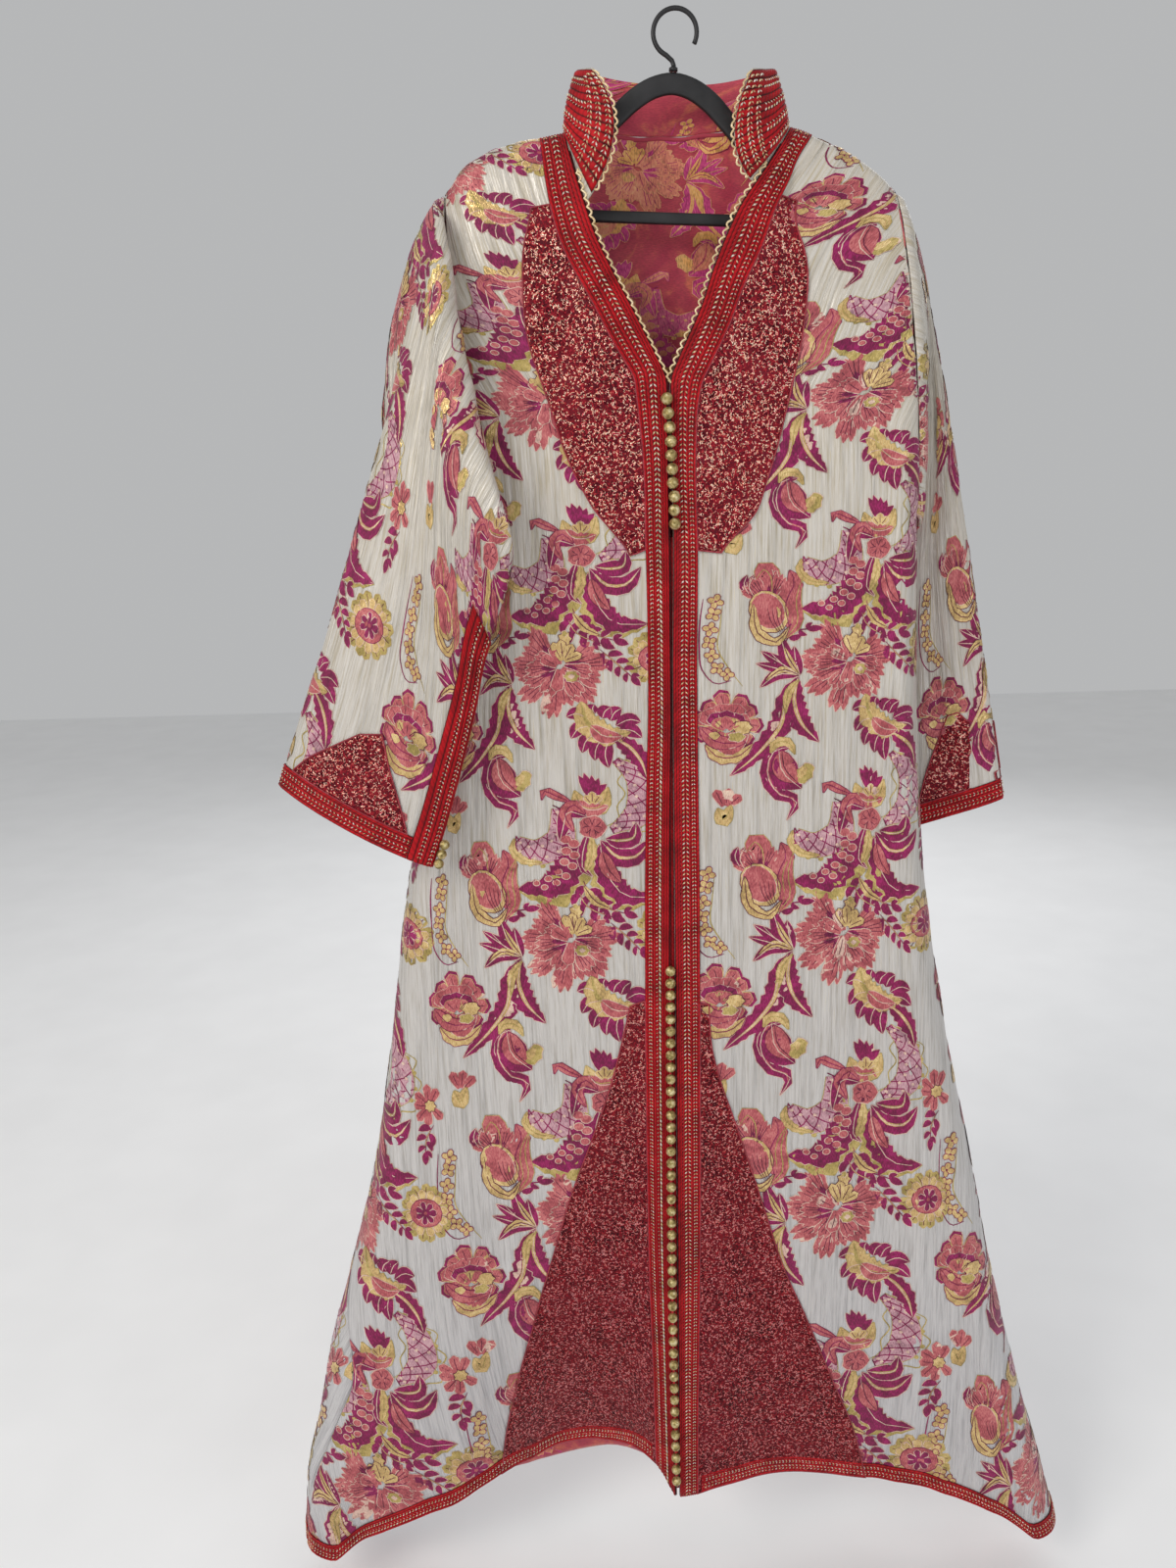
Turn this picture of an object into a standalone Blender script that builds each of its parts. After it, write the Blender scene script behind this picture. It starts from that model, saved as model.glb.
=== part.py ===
# Moroccan kaftan on a hanger: open-front robe of brocade with braid, glitter panels and knot buttons.
# The sizes in the tables are millimetres as measured on the garment; +X to the viewer's right,
# +Y to the back, +Z up. The origin is the inside top of the hanger's hook.
import math

import bmesh
import bpy
import numpy as np

MM = 0.001
CLOTH_THICK = 1.6
SEAM_GAP = 0.9
SLEEVE_SET_LEFT = 1.8
SLEEVE_SET_RIGHT = 1.3
SHOULDER_GAP = 0.6
LAY_GAP = 0.6
HANG_X = -15.0
CENTRE_GAP = 0.8
SHOULDER_ROUND = 9.0
DRAPE_LENGTH = 90.0
NECK_CENTRE = 15.0
NECK_HALF_WIDTH = 104.5
NECK_LIFT = 150.0
APPLIQUE_THICK = 1.2
HEM_BRAID = 25.0
CUFF_BRAID = 24.0
BUTTON_UPPER = 11.7
BUTTON_LOWER = 11.2
BUTTON_CUFF = 10.5

for old in list(bpy.data.objects):
    bpy.data.objects.remove(old, do_unlink=True)


# Tables of sizes

# Height, side line left and right, depth of front and back, side rounding left and right,
# and how far the left side seam lies round the fold to the front.
SECTION_COLUMNS = ("z", "left", "right", "front", "back", "round_left", "round_right", "seam_deg")
SECTIONS = (
    (-150.0, -203.0, 221.0, 38.0, 38.0, 24.0, 24.0, 0.0),
    (-300.0, -199.0, 239.0, 42.0, 42.0, 26.0, 26.0, 0.0),
    (-455.0, -187.0, 251.0, 45.0, 44.0, 28.0, 28.0, 0.0),
    (-650.0, -238.0, 260.0, 46.0, 45.0, 30.0, 30.0, 0.0),
    (-833.0, -281.0, 276.0, 47.0, 46.0, 32.0, 32.0, 0.0),
    (-1011.0, -311.0, 307.0, 48.0, 47.0, 34.0, 34.0, 0.0),
    (-1184.0, -344.0, 346.0, 50.0, 49.0, 38.0, 38.0, 0.0),
    (-1300.0, -377.0, 371.0, 51.0, 51.0, 50.0, 40.0, 12.0),
    (-1434.0, -417.0, 405.0, 52.0, 53.0, 60.0, 42.0, 68.0),
    (-1500.0, -431.0, 423.0, 52.0, 54.0, 58.0, 42.0, 56.0),
    (-1600.0, -455.0, 453.0, 52.0, 55.0, 50.0, 40.0, 40.0),
    (-1692.0, -464.0, 479.0, 50.0, 55.0, 44.0, 38.0, 28.0),
)

# Shoulder line from the left end over the neck to the right end
SHOULDER_COLUMNS = ("x", "z")
SHOULDERS = (
    (-203.0, -150.0), (-190.0, -133.0), (-160.0, -114.0), (-113.0, -104.0), (-89.5, -100.0),
    (15.0, -99.0), (119.5, -100.0), (140.0, -107.0), (165.0, -118.0), (192.0, -133.0),
    (208.0, -145.0), (221.0, -159.0),
)

# Neckline and front edge
EDGE_LEFT_COLUMNS = ("z", "x")
EDGE_LEFT = (
    (-100.0, -89.5), (-112.0, -86.5), (-138.0, -80.0), (-163.0, -73.0), (-194.0, -63.0),
    (-222.0, -50.0), (-260.0, -30.0), (-295.0, -12.0), (-322.0, 1.5),
)
EDGE_RIGHT = (
    (-100.0, 119.5), (-125.0, 104.0), (-150.0, 86.0), (-172.0, 70.0), (-193.0, 59.0),
    (-220.0, 47.0), (-262.0, 32.0), (-297.0, 15.0), (-322.0, 3.5),
)
CENTRE_COLUMNS = ("z", "x")
CENTRE_LINE = (
    (-322.0, 2.5), (-390.0, 4.0), (-456.0, 5.0), (-600.0, 3.0), (-750.0, 0.0), (-880.0, -1.5),
    (-1090.0, -3.0), (-1300.0, -3.5), (-1505.0, -1.5), (-1607.0, 0.0),
)

# Hem of the fronts: place across, depth and height; the left one is pushed in beside the middle
HEM_COLUMNS = ("x", "y", "z")
HEM_LEFT = (
    (-464.0, -14.0, -1692.0), (-440.0, -30.0, -1676.0), (-402.0, -40.0, -1655.0), (-355.0, -46.0, -1634.0),
    (-303.0, -48.0, -1619.0), (-261.0, -44.0, -1606.0), (-221.0, -22.0, -1599.0), (-190.0, 2.0, -1600.0),
    (-157.0, 22.0, -1590.0), (-125.0, 27.0, -1586.0), (-87.0, 20.0, -1581.0), (-51.0, -8.0, -1567.0),
    (-26.0, -38.0, -1566.0), (0.0, -52.0, -1607.0),
)
HEM_RIGHT = (
    (0.0, -52.0, -1607.0), (25.0, -50.0, -1605.0), (50.0, -45.0, -1602.0), (95.0, -35.0, -1602.0),
    (141.0, -24.0, -1604.0), (190.0, -18.0, -1608.0), (225.0, -20.0, -1610.0), (260.0, -27.0, -1612.0),
    (293.0, -37.0, -1614.0), (327.0, -44.0, -1617.0), (360.0, -47.0, -1624.0), (396.0, -46.0, -1636.0),
    (445.0, -36.0, -1662.0), (479.0, -14.0, -1688.0),
)
HEM_BACK = (
    (-464.0, 14.0, -1692.0), (-400.0, 48.0, -1682.0), (-330.0, 58.0, -1668.0), (-250.0, 48.0, -1655.0),
    (-160.0, 56.0, -1644.0), (-80.0, 60.0, -1641.0), (-10.0, 50.0, -1656.0), (70.0, 44.0, -1660.0),
    (150.0, 56.0, -1658.0), (230.0, 62.0, -1660.0), (310.0, 50.0, -1664.0), (390.0, 52.0, -1674.0),
    (479.0, 14.0, -1688.0),
)

# Long soft folds: place from the middle (0) to the side (1), width, depth, top height
FOLD_COLUMNS = ("at", "wide", "deep", "from_z")
FOLDS_LEFT = ((0.30, 0.10, -4.0, -480.0), (0.52, 0.09, 5.0, -620.0), (0.76, 0.08, -5.0, -900.0))
FOLDS_RIGHT = ((0.24, 0.08, 4.0, -420.0), (0.46, 0.08, -5.0, -560.0), (0.66, 0.08, 5.0, -500.0),
               (0.86, 0.06, -5.0, -950.0))
FOLDS_BACK = ((-0.74, 0.09, 6.0, -800.0), (-0.42, 0.10, -6.0, -420.0), (-0.12, 0.09, 5.0, -520.0),
              (0.20, 0.10, -5.0, -420.0), (0.50, 0.09, 6.0, -620.0), (0.78, 0.08, -6.0, -880.0))

# Sleeve rings from the armhole to the cuff: shoulder side, front, underarm side and back of each ring
RING_COLUMNS = ("ox", "oy", "oz", "fx", "fy", "fz", "ix", "iy", "iz", "bx", "by", "bz")
SLEEVE_LEFT = (
    (-203.0, 0.0, -151.0, -200.0, -32.0, -300.0, -187.0, 0.0, -455.0, -202.0, 32.0, -300.0),
    (-207.5, 0.0, -152.0, -205.0, -33.0, -301.0, -191.5, -1.0, -457.0, -207.0, 32.0, -301.0),
    (-212.0, -3.0, -155.0, -210.0, -44.0, -306.0, -197.0, -14.0, -466.0, -216.0, 31.0, -305.0),
    (-214.0, -9.0, -158.0, -204.0, -56.0, -313.0, -195.0, -40.0, -474.0, -226.0, 28.0, -311.0),
    (-214.5, -16.0, -162.0, -193.0, -65.0, -318.0, -182.0, -60.0, -474.0, -236.0, 24.0, -320.0),
    (-215.0, -24.0, -167.0, -183.0, -73.0, -322.0, -165.0, -72.0, -468.0, -246.0, 16.0, -330.0),
    (-217.0, -32.0, -178.0, -187.0, -83.0, -334.0, -156.0, -80.0, -475.0, -258.0, 4.0, -345.0),
    (-222.0, -39.0, -202.0, -201.0, -90.0, -362.0, -160.0, -82.0, -510.0, -266.0, -14.0, -375.0),
    (-237.0, -45.0, -262.0, -214.0, -92.0, -410.0, -173.0, -82.0, -548.0, -262.0, -38.0, -418.0),
    (-264.0, -48.0, -345.0, -228.0, -92.0, -464.0, -185.0, -82.0, -585.0, -240.0, -56.0, -466.0),
    (-292.0, -50.0, -425.0, -244.0, -90.0, -522.0, -194.0, -82.0, -625.0, -252.0, -56.0, -524.0),
    (-319.0, -51.0, -500.0, -263.0, -90.0, -583.0, -206.0, -82.0, -668.0, -268.0, -56.0, -585.0),
    (-346.0, -52.0, -574.0, -283.0, -91.0, -642.0, -219.0, -82.0, -710.0, -288.0, -55.0, -644.0),
    (-375.0, -53.0, -646.0, -304.0, -92.0, -698.0, -232.0, -82.0, -751.0, -309.0, -54.0, -700.0),
    (-397.0, -54.0, -707.0, -322.0, -93.0, -747.0, -246.0, -82.0, -788.0, -327.0, -53.0, -749.0),
)
SLEEVE_RIGHT = (
    (221.0, 0.0, -160.0, 239.0, -29.0, -305.0, 251.0, 0.0, -455.0, 239.0, 29.0, -305.0),
    (225.5, 0.0, -161.0, 244.0, -28.0, -306.0, 255.5, 0.0, -456.5, 244.0, 30.0, -306.0),
    (231.0, 5.0, -165.0, 252.0, -20.0, -312.0, 263.0, 18.0, -468.0, 251.0, 42.0, -312.0),
    (236.0, 13.0, -173.0, 257.0, -2.0, -322.0, 258.0, 52.0, -480.0, 254.0, 60.0, -322.0),
    (243.0, 21.0, -187.0, 261.0, 14.0, -336.0, 240.0, 68.0, -492.0, 257.0, 74.0, -340.0),
    (254.0, 29.0, -212.0, 262.0, 28.0, -362.0, 221.0, 75.0, -512.0, 260.0, 84.0, -370.0),
    (268.0, 34.0, -258.0, 262.0, 40.0, -402.0, 207.0, 79.0, -543.0, 258.0, 88.0, -408.0),
    (287.0, 38.0, -330.0, 262.0, 46.0, -456.0, 200.0, 82.0, -585.0, 256.0, 90.0, -460.0),
    (304.0, 41.0, -405.0, 262.0, 50.0, -518.0, 201.0, 84.0, -632.0, 256.0, 90.0, -520.0),
    (320.0, 43.0, -480.0, 264.0, 52.0, -580.0, 205.0, 84.0, -682.0, 262.0, 90.0, -582.0),
    (335.0, 45.0, -555.0, 272.0, 52.0, -640.0, 209.0, 84.0, -728.0, 270.0, 90.0, -642.0),
    (350.0, 46.0, -630.0, 282.0, 52.0, -698.0, 213.0, 84.0, -768.0, 280.0, 90.0, -700.0),
    (364.0, 47.0, -702.0, 290.0, 52.0, -750.0, 216.0, 84.0, -799.0, 288.0, 90.0, -752.0),
    (377.0, 47.0, -768.0, 298.0, 52.0, -796.0, 219.0, 84.0, -826.0, 296.0, 90.0, -798.0),
)

# Angles round a sleeve ring: 0 at the shoulder side, 90 in front, 180 at the underarm side
SLEEVE_ANGLES = (0.0, 26.0, 52.0, 78.0, 105.0, 134.0, 158.0, 180.0, 204.0, 230.0, 256.0, 282.0, 308.0, 334.0)

# Stand collar: where it starts on the neckline, the point half way up and the top edge
COLLAR_COLUMNS = ("base_x", "base_z", "mx", "my", "mz", "tx", "ty", "tz")
COLLAR_FRONT_LEFT = (
    (0.0, -165.0, -45.0, -40.0, -108.0, -63.0, -24.0, -52.0),
    (0.0, -143.0, -60.0, -37.0, -102.0, -68.0, -16.0, -50.0),
    (0.0, -122.0, -76.0, -24.0, -92.0, -72.0, -7.0, -48.0),
    (0.0, -108.0, -85.0, -10.0, -80.0, -75.0, 1.0, -47.0),
)
COLLAR_BACK = (
    (-86.0, 0.0, -82.0, 11.0, -74.0, -73.0, 11.0, -46.0),
    (-68.0, 0.0, -66.0, 24.0, -73.0, -58.0, 23.0, -45.0),
    (-30.0, 0.0, -29.0, 31.0, -73.0, -25.0, 31.0, -49.0),
    (15.0, 0.0, 15.0, 34.0, -74.0, 15.0, 33.0, -52.0),
    (60.0, 0.0, 59.0, 31.0, -74.0, 55.0, 31.0, -52.0),
    (98.0, 0.0, 97.0, 24.0, -75.0, 88.0, 23.0, -49.0),
    (116.0, 0.0, 112.0, 11.0, -77.0, 102.0, 11.0, -48.0),
)
COLLAR_FRONT_RIGHT = (
    (0.0, -108.0, 112.0, -10.0, -84.0, 104.0, 1.0, -50.0),
    (0.0, -122.0, 101.0, -24.0, -96.0, 97.0, -7.0, -52.0),
    (0.0, -138.0, 83.0, -36.0, -106.0, 90.0, -16.0, -54.0),
    (0.0, -153.0, 64.0, -40.0, -114.0, 82.0, -24.0, -56.0),
)

# Braid along the neckline and front edge: height, width left and right
BRAID_COLUMNS = ("z", "wide_left", "wide_right")
BRAID_WIDTH = (
    (-100.0, 24.0, 22.0), (-122.0, 27.0, 21.0), (-150.0, 31.0, 27.0), (-203.0, 34.5, 36.0),
    (-245.0, 34.0, 32.5), (-292.0, 34.5, 33.0), (-322.0, 32.0, 31.0), (-343.0, 30.0, 27.0),
    (-390.0, 25.5, 23.5), (-499.0, 23.0, 24.0), (-879.0, 26.0, 26.5), (-1299.0, 25.0, 25.5),
    (-1505.0, 22.0, 22.5), (-1607.0, 22.0, 22.0),
)
# Ribs of the braid: place from its inner (0) to its outer edge (1) and height
RIB_COLUMNS = ("at", "high")
BRAID_RIBS = (
    (0.0, 0.6), (0.2, 0.7), (0.28, 1.7), (0.44, 1.1), (0.6, 2.0), (0.76, 1.1), (0.88, 1.5), (1.0, 2.0),
)
EDGE_RIBS = ((0.0, 1.9), (0.3, 1.1), (0.62, 2.0), (1.0, 1.4))
COLLAR_RIBS = ((0.09, 1.2), (0.28, 1.8), (0.5, 1.2), (0.74, 1.8), (0.99, 1.5))

# Outer edge of the glitter panels: the chest panel above, the skirt panel below, a plain line between
PANEL_COLUMNS = ("z", "x")
PANEL_LEFT = (
    (-100.0, -119.0), (-168.0, -124.0), (-190.0, -130.0), (-229.0, -133.0), (-269.0, -130.0),
    (-327.0, -113.0), (-381.0, -97.0), (-429.0, -76.0), (-463.0, -54.0), (-487.0, -38.0), (-540.0, -38.0),
    (-700.0, -42.0), (-900.0, -42.0), (-960.0, -42.0), (-1016.0, -54.0), (-1084.0, -73.0),
    (-1140.0, -93.0), (-1223.0, -122.0), (-1294.0, -143.0), (-1411.0, -175.0), (-1464.0, -188.0),
    (-1548.0, -206.0), (-1610.0, -216.0),
)
PANEL_RIGHT = (
    (-100.0, 148.0), (-150.0, 126.0), (-176.0, 123.0), (-197.0, 131.0), (-256.0, 131.0), (-291.0, 125.0),
    (-357.0, 110.0), (-403.0, 97.0), (-440.0, 84.0), (-473.0, 58.0), (-492.0, 46.0), (-560.0, 44.0),
    (-700.0, 44.0), (-900.0, 41.0), (-975.0, 40.0), (-1018.0, 43.0), (-1060.0, 53.0), (-1100.0, 66.0),
    (-1201.0, 98.0), (-1303.0, 129.0), (-1376.0, 159.0), (-1463.0, 192.0), (-1516.0, 212.0),
    (-1610.0, 236.0),
)
CHEST_FROM = -166.0
CHEST_TO = -487.0
GODET_FROM = -962.0

# Glitter patches of the sleeves: left and right end of each row across
PATCH_COLUMNS = ("x0", "z0", "x1", "z1")
SLEEVE_PATCH_LEFT = (
    (-306.0, -649.0, -284.0, -649.0), (-334.0, -659.0, -277.0, -675.0), (-358.0, -668.0, -268.0, -705.0),
    (-376.0, -679.0, -260.0, -736.0),
)
SLEEVE_PATCH_RIGHT = (
    (321.0, -669.0, 311.0, -673.0), (341.0, -686.0, 300.0, -702.0), (356.0, -706.0, 290.0, -734.0),
    (364.0, -735.0, 284.0, -764.0),
)

# Buttons: the ten at the chest, the cuff buttons and the long row
UPPER_COLUMNS = ("x", "z")
UPPER_BUTTONS = (
    (0.0, -341.0), (1.0, -354.2), (2.4, -367.2), (3.4, -380.0), (3.6, -392.8), (4.4, -405.6),
    (4.8, -418.4), (6.4, -431.2), (6.2, -444.0), (6.6, -456.8),
)
ROW_TOP = -922.0
ROW_BOTTOM = -1578.0
ROW_COUNT = 44
ROW_SPREAD = 0.1

# Hanger: from the middle to the end of an arm, and along the bar; centre height and bar height
HANGER_COLUMNS = ("x", "z", "tall")
HANGER_ARM = (
    (0.0, -60.0, 19.0), (18.0, -64.0, 19.0), (36.0, -75.0, 19.0), (52.0, -90.0, 18.0),
    (70.0, -107.0, 17.0), (95.0, -119.5, 15.0), (125.0, -127.0, 14.0), (155.0, -134.0, 13.0),
    (178.0, -139.0, 12.0), (191.0, -149.0, 11.0), (196.0, -160.0, 10.0), (191.0, -171.0, 10.0),
    (178.0, -175.0, 11.0), (120.0, -175.0, 11.0), (60.0, -175.0, 11.0), (0.0, -175.0, 11.0),
)
HANGER_DEPTH = 8.0
HANGER_TILT = math.radians(3.2)
HOOK_WIRE = 4.4
HOOK_RADIUS = 20.0


# Rows of the body from the shoulder (0) to the hem (1), closer at the shoulder
ROW_SHARES = np.array([
    0.0, 0.005, 0.014, 0.029, 0.047, 0.068, 0.091, 0.115, 0.14, 0.168, 0.2, 0.235, 0.275, 0.32,
    0.37, 0.42, 0.47, 0.52, 0.57, 0.61, 0.65, 0.69, 0.73, 0.77, 0.81, 0.85, 0.89, 0.925, 0.956, 0.983, 1.0])


# Working functions

def column(table, names, name):
    """One named column of a table as an array."""
    return np.array([row[names.index(name)] for row in table], dtype=float)


def smooth(keys, values, at):
    """Cubic through the table's points; slope at a point is that of its two neighbours."""
    keys = np.asarray(keys, float)
    values = np.asarray(values, float)
    if keys[0] > keys[-1]:
        keys = keys[::-1]
        values = values[::-1]
    slope = np.gradient(values, keys)
    at = np.clip(np.asarray(at, float), keys[0], keys[-1])
    k = np.clip(np.searchsorted(keys, at) - 1, 0, len(keys) - 2)
    step = keys[k + 1] - keys[k]
    t = (at - keys[k]) / step
    a = values[k] * (1 + 2 * t) * (1 - t) ** 2 + slope[k] * step * t * (1 - t) ** 2
    b = values[k + 1] * t * t * (3 - 2 * t) - slope[k + 1] * step * t * t * (1 - t)
    return a + b


def section(name, z):
    """A size of the body at height z."""
    return smooth(column(SECTIONS, SECTION_COLUMNS, "z"), column(SECTIONS, SECTION_COLUMNS, name), z)


def ring(row, angle):
    """Closed ring through its four points: mean, first cosine and sine, second cosine."""
    o, f, i, b = (np.array(row[k:k + 3], float) for k in (0, 3, 6, 9))
    angle = np.asarray(angle, float)[..., None]
    return ((o + f + i + b) / 4 + (o - i) / 2 * np.cos(angle) + (f - b) / 2 * np.sin(angle)
            + (o - f + i - b) / 4 * np.cos(2 * angle))


def armhole(side, front):
    """Dense points of an armhole's front or back half from the shoulder to the underarm."""
    row = SLEEVE_LEFT[0] if side < 0 else SLEEVE_RIGHT[0]
    angle = np.linspace(0, math.pi, 60)
    return ring(row, angle if front else -angle)


def side_x(side, z, front=True):
    """Side line of the body: the armhole above the underarm, the side fold below it."""
    hole = armhole(side, front)
    top, under = hole[0, 2], hole[-1, 2]
    x_hole = np.interp(-np.asarray(z, float), -hole[:, 2], hole[:, 0])
    x_side = section("left" if side < 0 else "right", z)
    join = section("left" if side < 0 else "right", under)
    return np.where(np.asarray(z) > under, x_hole, x_side + (hole[-1, 0] - join) * np.exp((z - under) / 60.0))


def shoulder_z(x):
    """Height of the shoulder line over a place across."""
    return smooth(column(SHOULDERS, SHOULDER_COLUMNS, "x"), column(SHOULDERS, SHOULDER_COLUMNS, "z"), x)


def edge_x(side, z):
    """Neckline, V and front edge of one front."""
    table = EDGE_LEFT if side < 0 else EDGE_RIGHT
    x_v = smooth(column(table, EDGE_LEFT_COLUMNS, "z"), column(table, EDGE_LEFT_COLUMNS, "x"), z)
    x_c = centre_x(z) + side * CENTRE_GAP / 2
    return np.where(side * x_v > side * x_c, x_v, x_c)


def centre_x(z):
    """Middle line of the front, which wanders a little."""
    return smooth(column(CENTRE_LINE, CENTRE_COLUMNS, "z"), column(CENTRE_LINE, CENTRE_COLUMNS, "x"), z)


def quarter(s):
    """Quarter circle from 0 to 1."""
    return np.sqrt(np.clip(1 - (1 - np.clip(s, 0, 1)) ** 2, 0, 1))


def hang(x, z, deep):
    """Depth under the shoulder line: a short rounding, then slowly to the full depth; deeper at the neck."""
    across = (np.asarray(x, float) - NECK_CENTRE) / NECK_HALF_WIDTH
    fall = np.clip(shoulder_z(x) - z, 0, None) + NECK_LIFT * np.clip(1 - across ** 2, 0, 1)
    rounding = SHOULDER_ROUND * quarter(fall / SHOULDER_ROUND)
    return rounding + (deep - SHOULDER_ROUND) * (1 - np.exp(-fall / DRAPE_LENGTH))


def hem_row(table, x):
    """Depth and height of a hem at a place across."""
    keys = column(table, HEM_COLUMNS, "x")
    return smooth(keys, column(table, HEM_COLUMNS, "y"), x), smooth(keys, column(table, HEM_COLUMNS, "z"), x)


def long_folds(folds, place, z):
    """Sum of soft bell-shaped folds that deepen downwards."""
    total = 0.0
    for at, wide, deep, from_z in folds:
        grow = np.clip((from_z - z) / 900.0, 0, 1)
        grow = grow * grow * (3 - 2 * grow)
        total = total + deep * np.exp(-((place - at) / wide) ** 2) * grow
    return total


def front_y(side, x, z):
    """Depth of a front at a point across and up."""
    x = np.asarray(x, float)
    z = np.asarray(z, float)
    fold = side_x(side, z)
    deep = hang(x, z, section("front", z))
    inward = np.abs(fold - x) / section("round_left" if side < 0 else "round_right", z)
    hole = armhole(side, True)
    lift = np.interp(-z, -hole[:, 2], -hole[:, 1], right=0.0) / np.maximum(deep, 1.0)
    lift = np.where(z > hole[-1, 2], np.clip(lift, 0, 1), 0.0)
    shape = lift + (1 - lift) * quarter(inward)
    y = -deep * shape
    place = (x - centre_x(z)) / (fold - centre_x(z))
    low = np.clip((-1080.0 - z) / 520.0, 0, 1.1)
    low = low ** 1.7
    hem_x = centre_x(-1607.0) + place * ((-464.0 if side < 0 else 479.0) - centre_x(-1607.0))
    hem_y, hem_z = hem_row(HEM_LEFT if side < 0 else HEM_RIGHT, hem_x)
    flat = -section("front", hem_z) * quarter(np.abs((-464.0 if side < 0 else 479.0) - hem_x) / 40.0)
    soft = soft_step((inward - 1.0) / 0.9)
    y = y + low * (hem_y - flat) * soft
    y = y + long_folds(FOLDS_LEFT if side < 0 else FOLDS_RIGHT, place, z) * soft
    return y


def back_y(x, z):
    """Depth of the back at a point across and up, away from its side folds."""
    x = np.asarray(x, float)
    z = np.asarray(z, float)
    side = np.where(x < centre_x(z), -1, 1)
    fold = np.where(side < 0, side_x(-1, z, False), side_x(1, z, False))
    deep = hang(x, z, section("back", z))
    rounding = np.where(side < 0, section("round_left", z), section("round_right", z))
    inward = np.abs(fold - x) / rounding
    lift = 0.0
    for s in (-1, 1):
        hole = armhole(s, False)
        edge = np.interp(-z, -hole[:, 2], hole[:, 1], right=0.0) / np.maximum(deep, 1.0)
        lift = lift + np.where((side == s) & (z > hole[-1, 2]), np.clip(edge, 0, 1), 0.0)
    y = deep * (lift + (1 - lift) * quarter(inward))
    place = (x - centre_x(z)) / np.abs(fold - centre_x(z))
    low = np.clip((-1080.0 - z) / 520.0, 0, 1.1) ** 1.7
    hem_x = centre_x(-1607.0) + place * np.where(place < 0, 464.0, 479.0)
    hem_y, hem_z = hem_row(HEM_BACK, hem_x)
    soft = soft_step((inward - 1.0) / 0.9)
    y = y + low * (hem_y - section("back", hem_z)) * soft
    return y + long_folds(FOLDS_BACK, place, z) * soft


def braid_wide(side, z):
    """Width of the front braid at a height."""
    name = "wide_left" if side < 0 else "wide_right"
    return smooth(column(BRAID_WIDTH, BRAID_COLUMNS, "z"), column(BRAID_WIDTH, BRAID_COLUMNS, name), z)


def soft_step(t):
    """Smooth step from 0 to 1."""
    t = np.clip(t, 0, 1)
    return t * t * (3 - 2 * t)


def spread(t, arc, share, other=0):
    """Share across each row: from the seam at the shoulder, from the end of the side rounding lower down."""
    low = soft_step((share - 0.14) / 0.14)
    far = t[-1 - other]
    inner = np.clip((t - t[arc]) / (far - t[arc]), 0, 1)
    return t * (1 - low) + inner * low


def pull_in(grid, place, side, rows):
    """Draw the armhole edge in a little, so that the sleeve's ring clears it."""
    grid[rows, place, 0] -= side * 1.0
    return grid


def front_grid(side, arc=4, outer=6, panel=5):
    """Points of a front: rows from the shoulder to the hem, columns from the side seam to the edge."""
    down = ROW_SHARES
    hem = HEM_LEFT if side < 0 else HEM_RIGHT
    corner = hem[0] if side < 0 else hem[-1]
    end = SHOULDERS[0] if side < 0 else SHOULDERS[-1]
    z_side = end[1] + (corner[2] - end[1]) * down
    z_edge = -100.0 + (-1607.0 + 100.0) * down
    x_side = side_x(side, z_side)
    x_edge = edge_x(side, z_edge)
    rounding = section("round_left" if side < 0 else "round_right", z_side)
    seam = np.radians(section("seam_deg", z_side)) if side < 0 else 0 * z_side
    seam = seam + 0.3 / section("front", z_side)
    under = armhole(side, True)[-1, 2]
    seam = np.where(z_side > under, 0.0, seam)
    wide = braid_wide(side, z_edge)
    table = PANEL_LEFT if side < 0 else PANEL_RIGHT
    x_line = smooth(column(table, PANEL_COLUMNS, "z"), column(table, PANEL_COLUMNS, "x"), z_edge)
    rows = []
    for k in range(len(down)):
        angle = seam[k] + (math.pi / 2 - seam[k]) * np.arange(arc + 1) / arc
        x_arc = x_side[k] - side * rounding[k] * (1 - np.cos(angle))
        band = x_edge[k] + side * wide[k]
        line = x_line[k]
        x_outer = x_arc[-1] + (line - x_arc[-1]) * np.arange(1, outer + 1) / outer
        x_panel = line + (band - line) * np.arange(1, panel + 1) / panel
        x = np.concatenate([x_arc, x_outer, x_panel, [(band + x_edge[k]) / 2, x_edge[k]]])
        t = spread((x - x_side[k]) / (x_edge[k] - x_side[k]), arc, down[k])
        top = shoulder_z(end[0] + ((-89.5 if side < 0 else 119.5) - end[0]) * t)
        hem_x = corner[0] + (0.0 - corner[0]) * t
        bottom = hem_row(hem, hem_x)[1]
        z = top + (bottom - top) * down[k]
        rows.append(np.stack([x, front_y(side, x, z), z], axis=-1))
    grid = np.array(rows)
    grid[0, :, 1] = -SHOULDER_GAP
    return pull_in(grid, 0, side, z_side > under)


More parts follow.
